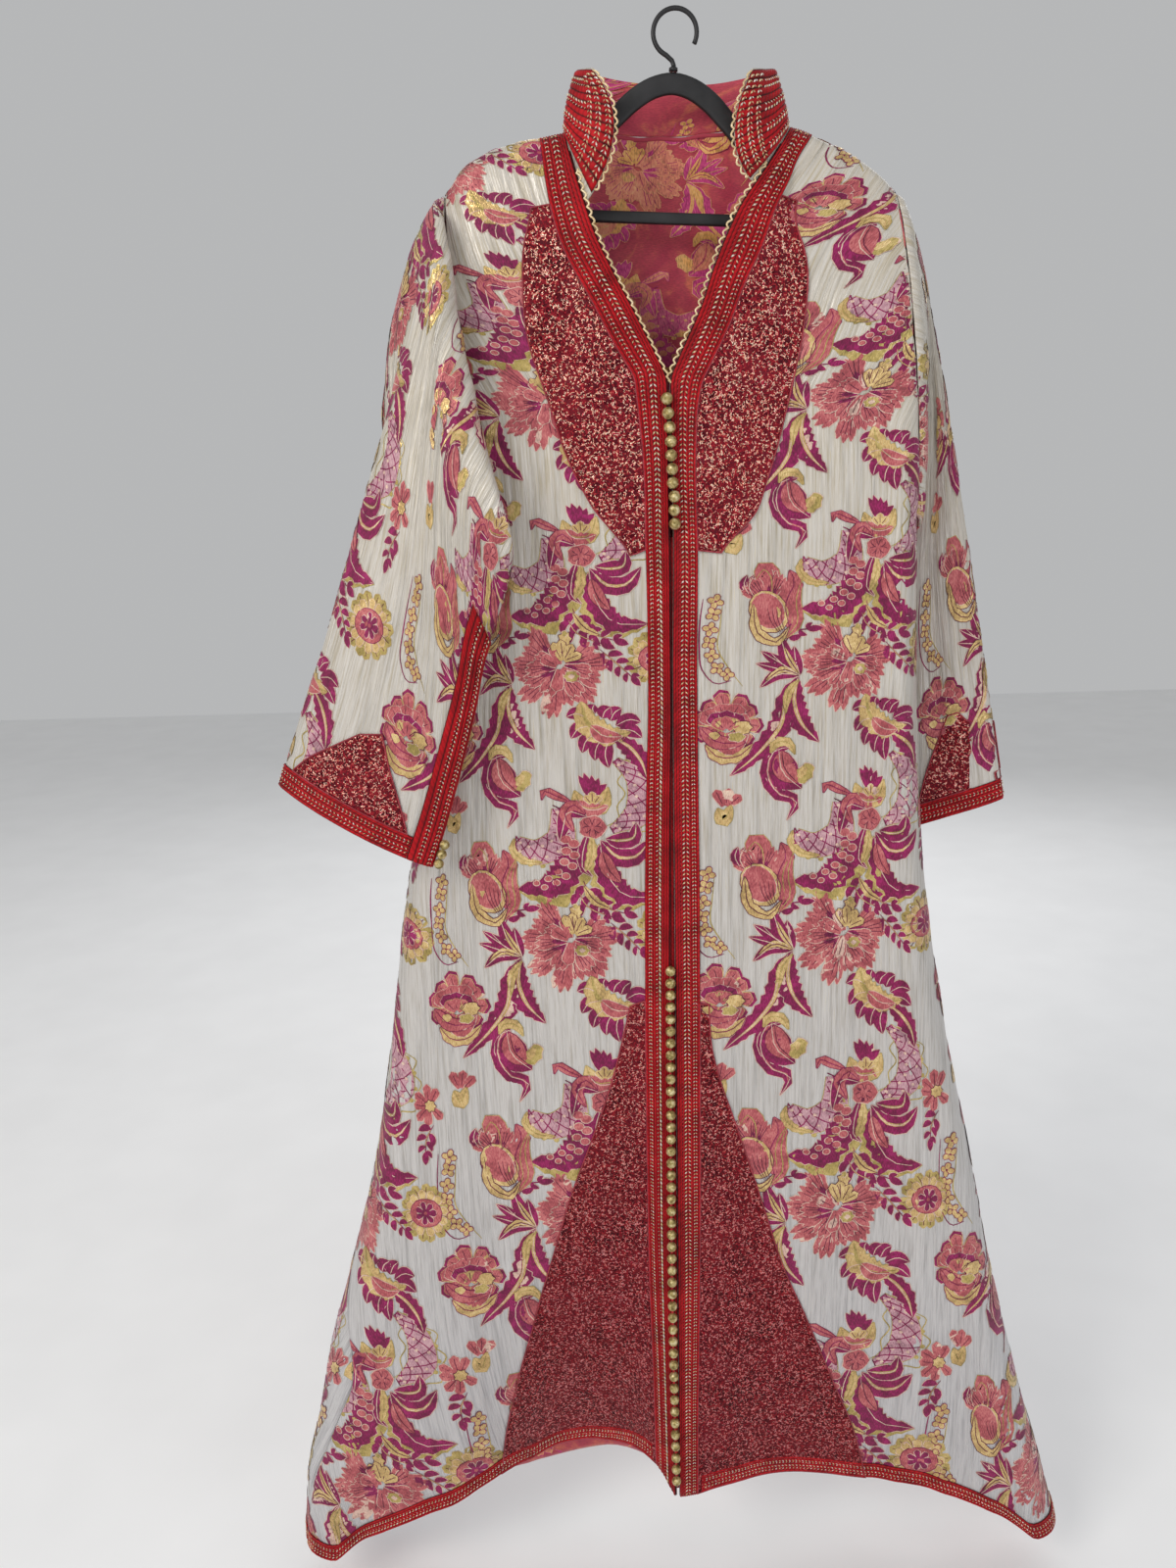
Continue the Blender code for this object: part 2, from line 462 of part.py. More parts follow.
def back_grid(arc=4, flat=13):
    """Points of the back from the left side seam round to the right one."""
    down = ROW_SHARES
    rows = []
    left_hem = HEM_BACK[0][2]
    right_hem = HEM_BACK[-1][2]
    for d in down:
        zl = SHOULDERS[0][1] + (left_hem - SHOULDERS[0][1]) * d
        zr = SHOULDERS[-1][1] + (right_hem - SHOULDERS[-1][1]) * d
        xl = float(side_x(-1, zl, False))
        xr = float(side_x(1, zr, False))
        rl = float(section("round_left", zl))
        rr = float(section("round_right", zr))
        below_l = zl <= armhole(-1, False)[-1, 2]
        below_r = zr <= armhole(1, False)[-1, 2]
        seam = -math.radians(float(section("seam_deg", zl))) + 0.3 / float(section("back", zl))
        seam = seam if below_l else 0.0
        turn_l = seam + (math.pi / 2 - seam) * np.arange(arc + 1) / arc
        seam_r = 0.3 / float(section("back", zr)) if below_r else 0.0
        turn_r = seam_r + (math.pi / 2 - seam_r) * np.arange(arc, -1, -1) / arc
        x_l = xl + rl * (1 - np.cos(turn_l))
        x_r = xr - rr * (1 - np.cos(turn_r))
        x_m = x_l[-1] + (x_r[0] - x_l[-1]) * np.arange(1, flat) / flat
        x = np.concatenate([x_l, x_m, x_r])
        t = spread((x - xl) / (xr - xl), arc, d, arc)
        top = shoulder_z(SHOULDERS[0][0] + (SHOULDERS[-1][0] - SHOULDERS[0][0]) * t)
        bottom = hem_row(HEM_BACK, HEM_BACK[0][0] + (HEM_BACK[-1][0] - HEM_BACK[0][0]) * t)[1]
        z = top + (bottom - top) * d
        y = back_y(x, z)
        wrap = np.concatenate([turn_l < 0, np.zeros(len(x) - len(turn_l), bool)])
        y_wrap = section("front", z) * np.sin(np.concatenate([turn_l, np.zeros(len(x) - len(turn_l))]))
        y = np.where(wrap, y_wrap, y)
        rows.append(np.stack([x, y, z], axis=-1))
    grid = np.array(rows)
    across = (grid[0, :, 0] - NECK_CENTRE) / NECK_HALF_WIDTH
    grid[0, :, 1] = np.where(np.abs(across) >= 1, SHOULDER_GAP, np.maximum(grid[0, :, 1], SHOULDER_GAP))
    grid = pull_in(grid, 0, -1, grid[:, 0, 2] > armhole(-1, False)[-1, 2])
    return pull_in(grid, -1, 1, grid[:, -1, 2] > armhole(1, False)[-1, 2])


def tube_grid(rings, side):
    """Points of a sleeve: rings from armhole to cuff, closed around."""
    table = np.array(rings, float)
    table[0, [0, 3, 6, 9]] += side * (SLEEVE_SET_LEFT if side < 0 else SLEEVE_SET_RIGHT)
    last = np.linalg.norm((table[-1] - table[-2]).reshape(4, 3), axis=1)
    share = min((CUFF_BRAID + 2.0) / last.min(), 0.92)
    table = np.concatenate([table[:-1], [table[-1] + (table[-2] - table[-1]) * share], table[-1:]])
    angle = np.radians(SLEEVE_ANGLES)
    return np.array([ring(row, angle) for row in table])


def grid_normals(grid, closed):
    """Unit normals of a grid of points from its row and column differences."""
    rows = np.gradient(grid, axis=0)
    if closed:
        wide = np.concatenate([grid[:, -1:], grid, grid[:, :1]], axis=1)
        cols = (wide[:, 2:] - wide[:, :-2]) / 2
    else:
        cols = np.gradient(grid, axis=1)
    normal = np.cross(cols, rows)
    return normal / np.maximum(np.linalg.norm(normal, axis=-1, keepdims=True), 1e-9)


def make_solid(name, outer, inner, closed, colour, rough, metal=0.0):
    """Closed body between an outer and an inner grid of points, with rims all round."""
    rows, cols = outer.shape[:2]
    points = np.concatenate([outer.reshape(-1, 3), inner.reshape(-1, 3)]) * MM
    points[:, 0] += HANG_X * MM
    half = rows * cols

    def at(r, c, layer):
        return layer * half + r * cols + c % cols

    faces = []
    span = cols if closed else cols - 1
    for r in range(rows - 1):
        for c in range(span):
            faces.append((at(r, c, 0), at(r, c + 1, 0), at(r + 1, c + 1, 0), at(r + 1, c, 0)))
            faces.append((at(r, c, 1), at(r + 1, c, 1), at(r + 1, c + 1, 1), at(r, c + 1, 1)))
    for c in range(span):
        faces.append((at(0, c + 1, 0), at(0, c, 0), at(0, c, 1), at(0, c + 1, 1)))
        faces.append((at(rows - 1, c, 0), at(rows - 1, c + 1, 0), at(rows - 1, c + 1, 1), at(rows - 1, c, 1)))
    if not closed:
        for r in range(rows - 1):
            faces.append((at(r, 0, 0), at(r + 1, 0, 0), at(r + 1, 0, 1), at(r, 0, 1)))
            faces.append((at(r + 1, cols - 1, 0), at(r, cols - 1, 0), at(r, cols - 1, 1),
                          at(r + 1, cols - 1, 1)))
    return make_mesh(name, points, faces, colour, rough, metal)


def make_mesh(name, points, faces, colour, rough, metal=0.0):
    """Object from points and faces, outward, smooth, with its own material."""
    mesh = bpy.data.meshes.new(name)
    mesh.from_pydata([tuple(p) for p in points], [], [tuple(f) for f in faces])
    obj = bpy.data.objects.new(name, mesh)
    bpy.context.scene.collection.objects.link(obj)
    work = bmesh.new()
    work.from_mesh(mesh)
    bmesh.ops.recalc_face_normals(work, faces=work.faces)
    if work.calc_volume(signed=True) < 0:
        bmesh.ops.reverse_faces(work, faces=work.faces)
    for face in work.faces:
        face.smooth = True
    work.to_mesh(mesh)
    work.free()
    material = bpy.data.materials.new(name + "_mat")
    material.use_nodes = True
    shader = material.node_tree.nodes["Principled BSDF"]
    shader.inputs["Base Color"].default_value = (*colour, 1.0)
    shader.inputs["Roughness"].default_value = rough
    shader.inputs["Metallic"].default_value = metal
    mesh.materials.append(material)
    return obj


def cloth(name, grid, closed, colour, thick=CLOTH_THICK, out=0.0):
    """A cloth wall on a grid of points, moved out along its normals by a distance."""
    normal = grid_normals(grid, closed)
    outer = grid + normal * (out + thick / 2)
    inner = grid + normal * (out - thick / 2)
    return make_solid(name, outer, inner, closed, colour, 0.75)


def laid_on(name, grid, colour, height, closed=False, base=CLOTH_THICK / 2 + LAY_GAP, rough=0.7,
            metal=0.0):
    """A piece lying on a wall: its underside just clear of it, its top raised by a height per point."""
    normal = grid_normals(grid, closed)
    raised = np.broadcast_to(np.asarray(height, float), grid.shape[:2])[..., None]
    top = grid + normal * (base + raised)
    return make_solid(name, top, grid + normal * base, closed, colour, rough, metal)


def between(grid, rows, cols):
    """Points of a grid at fractional row and column numbers, straight between its own points."""
    rows = np.asarray(rows, float)
    cols = np.asarray(cols, float)
    r = np.clip(np.floor(rows).astype(int), 0, grid.shape[0] - 2)
    c = np.clip(np.floor(cols).astype(int), 0, grid.shape[1] - 2)
    a = (rows - r)[:, None, None]
    b = (cols - c)[None, :, None]
    top = grid[r][:, c] * (1 - b) + grid[r][:, c + 1] * b
    low = grid[r + 1][:, c] * (1 - b) + grid[r + 1][:, c + 1] * b
    return top * (1 - a) + low * a


def up_from_hem(grid, heights, cols):
    """Points a set distance above the last row of a grid, along its columns."""
    low = between(grid, [grid.shape[0] - 1.0], cols)[0]
    above = between(grid, [grid.shape[0] - 2.0], cols)[0]
    way = above - low
    way = way / np.linalg.norm(way, axis=-1, keepdims=True)
    return np.array([low + way * h for h in heights])


def on_wall(grid, x, z):
    """Depth of a wall's own faces at points across and up: the nearest face's plane over the point."""
    a, b, c, d = grid[:-1, :-1], grid[:-1, 1:], grid[1:, 1:], grid[1:, :-1]
    faces = np.concatenate([np.stack([a, b, c], 2).reshape(-1, 3, 3),
                            np.stack([a, c, d], 2).reshape(-1, 3, 3)])
    p, q, r = faces[:, 0], faces[:, 1], faces[:, 2]
    area = (q[:, 0] - p[:, 0]) * (r[:, 2] - p[:, 2]) - (r[:, 0] - p[:, 0]) * (q[:, 2] - p[:, 2])
    area = np.where(np.abs(area) < 1e-6, 1e-6, area)
    flat_x = np.asarray(x, float).ravel()
    flat_z = np.asarray(z, float).ravel()
    out = np.zeros(len(flat_x))
    for k in range(len(flat_x)):
        dx = flat_x[k] - p[:, 0]
        dz = flat_z[k] - p[:, 2]
        u = (dx * (r[:, 2] - p[:, 2]) - (r[:, 0] - p[:, 0]) * dz) / area
        v = ((q[:, 0] - p[:, 0]) * dz - dx * (q[:, 2] - p[:, 2])) / area
        miss = np.maximum(np.maximum(-u, -v), u + v - 1)
        best = int(np.argmin(miss))
        out[k] = p[best, 1] + u[best] * (q[best, 1] - p[best, 1]) + v[best] * (r[best, 1] - p[best, 1])
    return out.reshape(np.shape(x))


def patch_grid(wall, table, across):
    """Grid on a wall from a table of straight rows, each given by its two ends."""
    table = np.array(table, float)
    t = np.linspace(0, 1, across)[None, :]
    x = table[:, 0:1] * (1 - t) + table[:, 2:3] * t
    z = table[:, 1:2] * (1 - t) + table[:, 3:4] * t
    return np.stack([x, on_wall(wall, x, z), z], axis=-1)


def collar_grid(heights):
    """Collar from its left front end round the back to its right front end: quadratic from seam to top."""
    names = COLLAR_COLUMNS
    stations = []
    for side, table in ((-1, COLLAR_FRONT_LEFT), (0, COLLAR_BACK), (1, COLLAR_FRONT_RIGHT)):
        for row in table:
            if side:
                z = row[names.index("base_z")]
                x = float(edge_x(side, z)) - side * SEAM_GAP
                base = np.array([x, float(front_y(side, x + side * SEAM_GAP, z)), z])
            else:
                x = row[names.index("base_x")]
                z = float(shoulder_z(x))
                steep = abs(x - NECK_CENTRE) / NECK_HALF_WIDTH > 0.9
                base = np.array([x, float(back_y(x, z)), z + SEAM_GAP + (4.0 if steep else 1.6)])
            stations.append((base, np.array(row[2:5], float), np.array(row[5:8], float)))
    rows = []
    for h in heights:
        rows.append([b * (1 - h) * (1 - 2 * h) + m * 4 * h * (1 - h) + t * h * (2 * h - 1)
                     for b, m, t in stations])
    return np.array(rows)


def turned(path, radius, sides, ends=True):
    """Closed body round a path: one ring of points per path point, with a tip at each end."""
    path = np.asarray(path, float)
    radius = np.asarray(radius, float)
    way = np.gradient(path, axis=0)
    way = way / np.linalg.norm(way, axis=1, keepdims=True)
    side_way = np.cross(way, np.array([0.0, 1.0, 0.0]))
    side_way = side_way / np.linalg.norm(side_way, axis=1, keepdims=True)
    up_way = np.cross(side_way, way)
    angle = 2 * math.pi * np.arange(sides) / sides
    rings = (path[:, None] + radius[:, None, None] * (np.cos(angle)[None, :, None] * side_way[:, None]
                                                     + np.sin(angle)[None, :, None] * up_way[:, None]))
    points = np.concatenate([rings.reshape(-1, 3), path[:1] - way[:1] * radius[0] * 0.2,
                             path[-1:] + way[-1:] * radius[-1] * 0.2])
    n = len(path)
    faces = []
    for r in range(n - 1):
        for c in range(sides):
            d = (c + 1) % sides
            faces.append((r * sides + c, r * sides + d, (r + 1) * sides + d, (r + 1) * sides + c))
    for c in range(sides):
        d = (c + 1) % sides
        faces.append((n * sides, c, d))
        faces.append((n * sides + 1, (n - 1) * sides + d, (n - 1) * sides + c))
    return points, faces


def ball(name, centre, size):
    """A knot button: a ball turned about an upright line."""
    angle = np.linspace(0.5, math.pi - 0.5, 4)
    path = np.array([np.array(centre) + np.array([0, 0, math.cos(a) * size / 2]) for a in angle])
    points, faces = turned(path, np.sin(angle) * size / 2, 8)
    points = np.array(points) * MM
    points[:, 0] += HANG_X * MM
    make_mesh(name, points, faces, BUTTON_GOLD, 0.35, 0.6)


# Colours
BROCADE = (0.72, 0.62, 0.6)
BRAID_RED = (0.55, 0.02, 0.03)
GLITTER = (0.42, 0.1, 0.12)
BUTTON_GOLD = (0.55, 0.42, 0.2)
HANGER_BLACK = (0.012, 0.012, 0.013)

# Fronts, back and sleeves
left = front_grid(-1)
right = front_grid(1)
back = back_grid()
sleeve_l = tube_grid(SLEEVE_LEFT, -1)
sleeve_r = tube_grid(SLEEVE_RIGHT, 1)
cloth("front_left", left[:, ::-1], False, BROCADE)
cloth("front_right", right, False, BROCADE)
cloth("back", back, False, BROCADE)
cloth("sleeve_left", sleeve_l[:, ::-1], True, BROCADE)
cloth("sleeve_right", sleeve_r, True, BROCADE)

# Collar and the braid that covers its outside
cloth("collar", collar_grid([0.0, 0.3, 0.6, 1.0])[::-1, :], False, BROCADE)
rib_at = column(COLLAR_RIBS, RIB_COLUMNS, "at")
rib_high = column(COLLAR_RIBS, RIB_COLUMNS, "high")
strip = collar_grid(rib_at)[::-1, :]
laid_on("braid_collar", strip, BRAID_RED, rib_high[::-1, None], base=CLOTH_THICK / 2 + 1.1)

# Braid down the neckline and the front edges
rib_at = column(BRAID_RIBS, RIB_COLUMNS, "at")
rib_high = column(BRAID_RIBS, RIB_COLUMNS, "high")
last = left.shape[1] - 1
band_rows = np.concatenate([[0.4], np.arange(1, len(ROW_SHARES))])
strip_l = between(left, band_rows, last - 2 * rib_at)
strip_r = between(right, band_rows, last - 2 * rib_at)
laid_on("braid_front_left", strip_l, BRAID_RED, rib_high[None, :], base=CLOTH_THICK / 2 + 0.7)
laid_on("braid_front_right", strip_r[:, ::-1], BRAID_RED, rib_high[None, ::-1], base=CLOTH_THICK / 2 + 0.7)

# Braid round the hem and the cuffs
rib_at = column(EDGE_RIBS, RIB_COLUMNS, "at")
rib_high = column(EDGE_RIBS, RIB_COLUMNS, "high")
hem_cols = np.concatenate([[0.12], np.arange(1, last - 2), [last - 2.06]])
for name, wall, flip in (("braid_hem_left", left, True), ("braid_hem_right", right, False)):
    strip = up_from_hem(wall, HEM_BRAID * rib_at, hem_cols)[::-1]
    laid_on(name, strip[:, ::-1] if flip else strip, BRAID_RED, rib_high[::-1, None])
back_cols = np.concatenate([[0.12], np.arange(1, back.shape[1] - 1), [back.shape[1] - 1.12]])
strip = up_from_hem(back, HEM_BRAID * rib_at, back_cols)[::-1]
laid_on("braid_hem_back", strip, BRAID_RED, rib_high[::-1, None])
for name, wall, flip in (("braid_cuff_left", sleeve_l, True), ("braid_cuff_right", sleeve_r, False)):
    strip = up_from_hem(wall, CUFF_BRAID * rib_at, np.arange(wall.shape[1] - 0.0))[::-1]
    laid_on(name, strip[:, ::-1] if flip else strip, BRAID_RED, rib_high[::-1, None], closed=True)

# Braid along the left cuff slit, on the front of the sleeve beside its inner fold
slit_high = np.array([1.5, 2.0, 1.6])
strip = between(sleeve_l, [10.0, 11.0, 12.0, 13.0, 13.8], [5.0, 6.0, 7.0])
laid_on("braid_slit_left", strip[:, ::-1], BRAID_RED, slit_high[None, ::-1], base=CLOTH_THICK / 2 + 0.8)
strip = between(sleeve_r, [9.0, 10.0, 11.0, 12.0, 12.6], [5.0, 6.0, 7.0])
laid_on("braid_slit_right", strip, BRAID_RED, slit_high[None, :], base=CLOTH_THICK / 2 + 0.8)

# Glitter panels on the chest, the skirt and the sleeves
PANEL_TABLE = (
    ("panel_chest_left", left, True, CHEST_FROM, CHEST_TO),
    ("panel_chest_right", right, False, CHEST_FROM, CHEST_TO),
    ("panel_skirt_left", left, True, GODET_FROM, -2000.0),
    ("panel_skirt_right", right, False, GODET_FROM, -2000.0),
)
line_col = 10
for name, wall, flip, top, bottom in PANEL_TABLE:
    rows = np.nonzero((wall[:, line_col, 2] < top + 14.0) & (wall[:, line_col, 2] > bottom - 14.0))[0]
    rows = rows[rows < len(wall) - 1].astype(float)
    cols = np.array([10.0, 11.0, 12.0, 13.0, 14.0, 14.9])
    if top == GODET_FROM:
        rows[-1] -= 0.06
    patch = between(wall, rows, cols)
    laid_on(name, patch[:, ::-1] if flip else patch, GLITTER, APPLIQUE_THICK)
patch = patch_grid(sleeve_l[:, :8], SLEEVE_PATCH_LEFT, 6)
laid_on("panel_sleeve_left", patch[:, ::-1], GLITTER, APPLIQUE_THICK, base=CLOTH_THICK / 2 + 2.2)
patch = patch_grid(sleeve_r[:, :8], SLEEVE_PATCH_RIGHT, 6)
laid_on("panel_sleeve_right", patch, GLITTER, APPLIQUE_THICK, base=CLOTH_THICK / 2 + 1.3)

# Knot buttons: ten at the chest, a long row on its cord, three at each cuff
for k, (x, z) in enumerate(UPPER_BUTTONS):
    y = float(front_y(-1, centre_x(z) - 0.5, z)) - CLOTH_THICK / 2 - LAY_GAP - 0.45 - BUTTON_UPPER / 2
    ball("button_chest_%02d" % (k + 1), (x, y, z), BUTTON_UPPER)
count = np.linspace(-0.5, ROW_COUNT - 0.5, 4 * ROW_COUNT + 1)
share = count / (ROW_COUNT - 1)
z = ROW_TOP + (ROW_BOTTOM - ROW_TOP) * (share + ROW_SPREAD * share * (share - 1))
half = BUTTON_LOWER / 2
pitch = -np.gradient(z, count)
girth = np.sqrt(np.clip(half ** 2 - ((count + 0.5) % 1.0 - 0.5) ** 2 * pitch ** 2, 1.8 ** 2, None))
x = centre_x(z)
y = np.minimum(front_y(-1, x - 0.5, z), front_y(1, x + 0.5, z)) - CLOTH_THICK / 2 - LAY_GAP - 0.4 - half
points, faces = turned(np.stack([x, y, z], axis=-1), girth, 6)
points = np.array(points) * MM
points[:, 0] += HANG_X * MM
make_mesh("buttons_skirt_row", points, faces, BUTTON_GOLD, 0.35, 0.6)
for name, wall, way in (("button_cuff_left", sleeve_l, 1.0), ("button_cuff_right", sleeve_r, -1.0)):
    low, high = wall[-1, 7], wall[-4, 7]
    along = (high - low) / np.linalg.norm(high - low)
    for k in range(3):
        spot = low + along * (3.2 + 10.6 * k) + np.array([way * 7.9, -4.0, 0.0])
        ball("%s_%d" % (name, k + 1), spot, BUTTON_CUFF)

# Hanger: one loop of arms and bar, with its hook
table = np.array(HANGER_ARM, float)
half_path = np.concatenate([table, table[-2:0:-1] * np.array([-1.0, 1.0, 1.0])])
way = (np.roll(half_path[:, :2], -1, axis=0) - np.roll(half_path[:, :2], 1, axis=0))
way = way / np.linalg.norm(way, axis=1, keepdims=True)
across = np.stack([-way[:, 1], way[:, 0]], axis=-1)
corner = ((-0.5, -0.3), (-0.3, -0.5), (0.3, -0.5), (0.5, -0.3),
          (0.5, 0.3), (0.3, 0.5), (-0.3, 0.5), (-0.5, 0.3))
loop = []
for c, (up, deep) in enumerate(corner):
    flat_pts = half_path[:, :2] + across * (half_path[:, 2] * up)[:, None]
    depth = np.full(len(flat_pts), HANGER_DEPTH * deep)
    loop.append(np.stack([flat_pts[:, 0], depth, flat_pts[:, 1]], axis=-1))
loop = np.array(loop).transpose(1, 0, 2)
tilt = np.array([[math.cos(HANGER_TILT), 0, math.sin(HANGER_TILT)], [0, 1, 0],
                 [-math.sin(HANGER_TILT), 0, math.cos(HANGER_TILT)]])
loop = loop @ tilt.T
rows, cols = loop.shape[:2]
faces = [(r * cols + c, r * cols + (c + 1) % cols, (r + 1) % rows * cols + (c + 1) % cols,
          (r + 1) % rows * cols + c) for r in range(rows) for c in range(cols)]
make_mesh("hanger_arms", loop.reshape(-1, 3) * MM, faces, HANGER_BLACK, 0.45)
angle = np.radians(np.linspace(-68.0, 205.0, 13))
arc = np.stack([HOOK_RADIUS * np.cos(angle) * -1.0, 0 * angle, HOOK_RADIUS * np.sin(angle)], axis=-1)
arc = arc + np.array([0.0, 0.0, HOOK_WIRE / 2 - HOOK_RADIUS])
stem = np.array([[0.0, 0.0, -49.3], [0.0, 0.0, -44.5], [-1.5, 0.0, -41.0]])
hook_path = np.concatenate([stem, arc])
thick = np.full(len(hook_path), HOOK_WIRE / 2)
thick[:1] = 4.2
points, faces = turned(hook_path, thick, 8)
make_mesh("hanger_hook", np.array(points) @ tilt.T * MM, faces, HANGER_BLACK, 0.35)
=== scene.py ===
import math

import bmesh
import bpy
import numpy as np
from mathutils import Matrix


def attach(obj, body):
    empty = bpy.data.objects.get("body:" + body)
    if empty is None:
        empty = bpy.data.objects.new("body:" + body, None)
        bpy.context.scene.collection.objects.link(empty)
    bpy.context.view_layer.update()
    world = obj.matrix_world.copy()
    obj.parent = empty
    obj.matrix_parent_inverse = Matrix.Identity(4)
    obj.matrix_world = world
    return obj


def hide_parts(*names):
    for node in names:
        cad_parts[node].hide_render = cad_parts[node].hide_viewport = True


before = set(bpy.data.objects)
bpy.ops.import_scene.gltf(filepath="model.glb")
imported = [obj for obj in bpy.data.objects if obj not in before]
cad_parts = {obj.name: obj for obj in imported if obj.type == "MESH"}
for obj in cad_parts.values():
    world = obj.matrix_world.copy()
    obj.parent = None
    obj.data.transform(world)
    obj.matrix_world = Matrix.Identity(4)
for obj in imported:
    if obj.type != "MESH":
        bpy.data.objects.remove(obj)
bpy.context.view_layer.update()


# ---- Room: camera level with the chest and tipped down, pale floor, soft light from the upper left
EYE = (-0.0993, -1.219, -0.415)
PITCH_DOWN = 0.2513
CAMERA_ROLL = 0.02678
FOCAL_LENGTH = 27.04
FLOOR_Z = -1.76

view_up = np.array([0.0, math.sin(PITCH_DOWN), math.cos(PITCH_DOWN)])
view_right = np.array([1.0, 0.0, 0.0])
camera_up = view_up * math.cos(CAMERA_ROLL) + view_right * math.sin(CAMERA_ROLL)
camera_right = view_right * math.cos(CAMERA_ROLL) - view_up * math.sin(CAMERA_ROLL)
camera_back = np.cross(camera_right, camera_up)
camera = bpy.data.objects.new("camera", bpy.data.cameras.new("camera"))
camera.data.lens = FOCAL_LENGTH
camera.data.sensor_width = 36.0
camera.data.clip_start = 0.02
placed = np.eye(4)
placed[:3, 0] = camera_right
placed[:3, 1] = camera_up
placed[:3, 2] = camera_back
placed[:3, 3] = EYE
camera.matrix_world = Matrix(placed.tolist())
bpy.context.scene.collection.objects.link(camera)
bpy.context.scene.camera = camera


def unit(vectors):
    """Vectors divided by their own length."""
    return vectors / np.maximum(np.linalg.norm(vectors, axis=-1, keepdims=True), 1e-9)


def area_light(name, spot, aim, size, power, colour):
    """Square lamp at a spot, turned so that its face looks at the aim."""
    lamp = bpy.data.objects.new(name, bpy.data.lights.new(name, "AREA"))
    lamp.data.size = size
    lamp.data.energy = power
    lamp.data.color = colour
    away = unit(np.array(spot, float) - np.array(aim, float))
    across = unit(np.cross((0.0, 0.0, 1.0), away))
    turn = np.eye(4)
    turn[:3, 0] = across
    turn[:3, 1] = np.cross(away, across)
    turn[:3, 2] = away
    turn[:3, 3] = spot
    lamp.matrix_world = Matrix(turn.tolist())
    bpy.context.scene.collection.objects.link(lamp)


for lamp_row in (
    ("key_light", (-2.2, -2.4, 1.1), (0.0, 0.0, -0.7), 1.5, 66.0, (1.0, 0.965, 0.92)),
    ("fill_light", (2.4, -2.6, 0.1), (0.0, 0.0, -0.9), 2.6, 20.0, (0.93, 0.95, 1.0)),
    ("low_light", (0.2, -2.6, -1.2), (0.0, 0.0, -1.1), 2.2, 4.0, (1.0, 0.97, 0.95)),
    ("back_light", (0.5, 2.8, 0.9), (0.0, 0.0, -0.8), 3.0, 46.0, (0.97, 0.98, 1.0)),
):
    area_light(*lamp_row)
world = bpy.data.worlds.new("room")
world.use_nodes = True
world.node_tree.nodes["Background"].inputs["Color"].default_value = (0.94, 0.95, 0.96, 1.0)
world.node_tree.nodes["Background"].inputs["Strength"].default_value = 0.5
bpy.context.scene.world = world
bpy.context.scene.view_settings.view_transform = "Standard"


def new_material(name, colour, rough, metal=0.0):
    """Empty principled material; returns it with its shader, a maker of nodes and a joiner of sockets to the
    shader's inputs.
    """
    material = bpy.data.materials.new(name)
    material.use_nodes = True
    tree = material.node_tree
    shader = tree.nodes["Principled BSDF"]
    shader.inputs["Base Color"].default_value = (*colour, 1.0)
    shader.inputs["Roughness"].default_value = rough
    shader.inputs["Metallic"].default_value = metal

    def add(kind, links=None, **values):
        """Node of a kind; links feed its inputs, values set its inputs or properties."""
        node = tree.nodes.new(kind)
        for key, value in values.items():
            if key in node.inputs:
                node.inputs[key].default_value = value
            else:
                setattr(node, key, value)
        for key, source in (links or {}).items():
            tree.links.new(source, node.inputs[key])
        return node

    def feed(name_in, socket):
        """Join a socket to an input of the shader."""
        tree.links.new(socket, shader.inputs[name_in])

    return material, shader, add, feed


def ramp(add, source, stops):
    """Colour ramp over a value: stops are (place, colour)."""
    node = add("ShaderNodeValToRGB", {"Fac": source})
    line = node.color_ramp
    line.elements[0].position = stops[0][0]
    line.elements[0].color = (*stops[0][1], 1.0)
    line.elements[1].position = stops[-1][0]
    line.elements[1].color = (*stops[-1][1], 1.0)
    for place, colour in stops[1:-1]:
        line.elements.new(place).color = (*colour, 1.0)
    return node.outputs["Color"]


def grey(value):
    """A grey as a colour."""
    return (value, value, value)


def noise(add, where, scale, detail=2.0, **more):
    """Value of a noise pattern."""
    return add("ShaderNodeTexNoise", {"Vector": where}, Scale=scale, Detail=detail, **more).outputs["Fac"]


def relief(add, height, strength, deep):
    """Normal that a height pattern gives the surface, deep in metres."""
    return add("ShaderNodeBump", {"Height": height}, Strength=strength, Distance=deep).outputs["Normal"]


def blend(add, share, first, second, kind="MIX"):
    """Colour between two colours; the share is a number or a pattern."""
    node = add("ShaderNodeMix", data_type="RGBA", blend_type=kind)
    for place, value in ((0, share), (6, first), (7, second)):
        if isinstance(value, float):
            node.inputs[place].default_value = value
        else:
            node.id_data.links.new(value, node.inputs[place])
    return node.outputs[2]


def grid_mesh(name, points, faces, uv=None):
    """Object from arrays of points (mm, garment frame) and quads or triangles, with an optional UV map."""
    mesh = bpy.data.meshes.new(name)
    faces = np.asarray(faces, np.int32)
    count, corners = faces.shape
    mesh.vertices.add(len(points))
    mesh.vertices.foreach_set("co", (np.asarray(points, float) * 0.001).astype(np.float32).ravel())
    mesh.loops.add(count * corners)
    mesh.loops.foreach_set("vertex_index", faces.ravel())
    mesh.polygons.add(count)
    mesh.polygons.foreach_set("loop_start", np.arange(count, dtype=np.int32) * corners)
    mesh.polygons.foreach_set("loop_total", np.full(count, corners, np.int32))
    mesh.polygons.foreach_set("use_smooth", np.full(count, True))
    if uv is not None:
        layer = mesh.uv_layers.new(name="UVMap")
        layer.data.foreach_set("uv", np.asarray(uv, np.float32)[faces.ravel()].ravel())
    mesh.update(calc_edges=True)
    mesh.validate()
    piece = bpy.data.objects.new(name, mesh)
    bpy.context.scene.collection.objects.link(piece)
    return piece


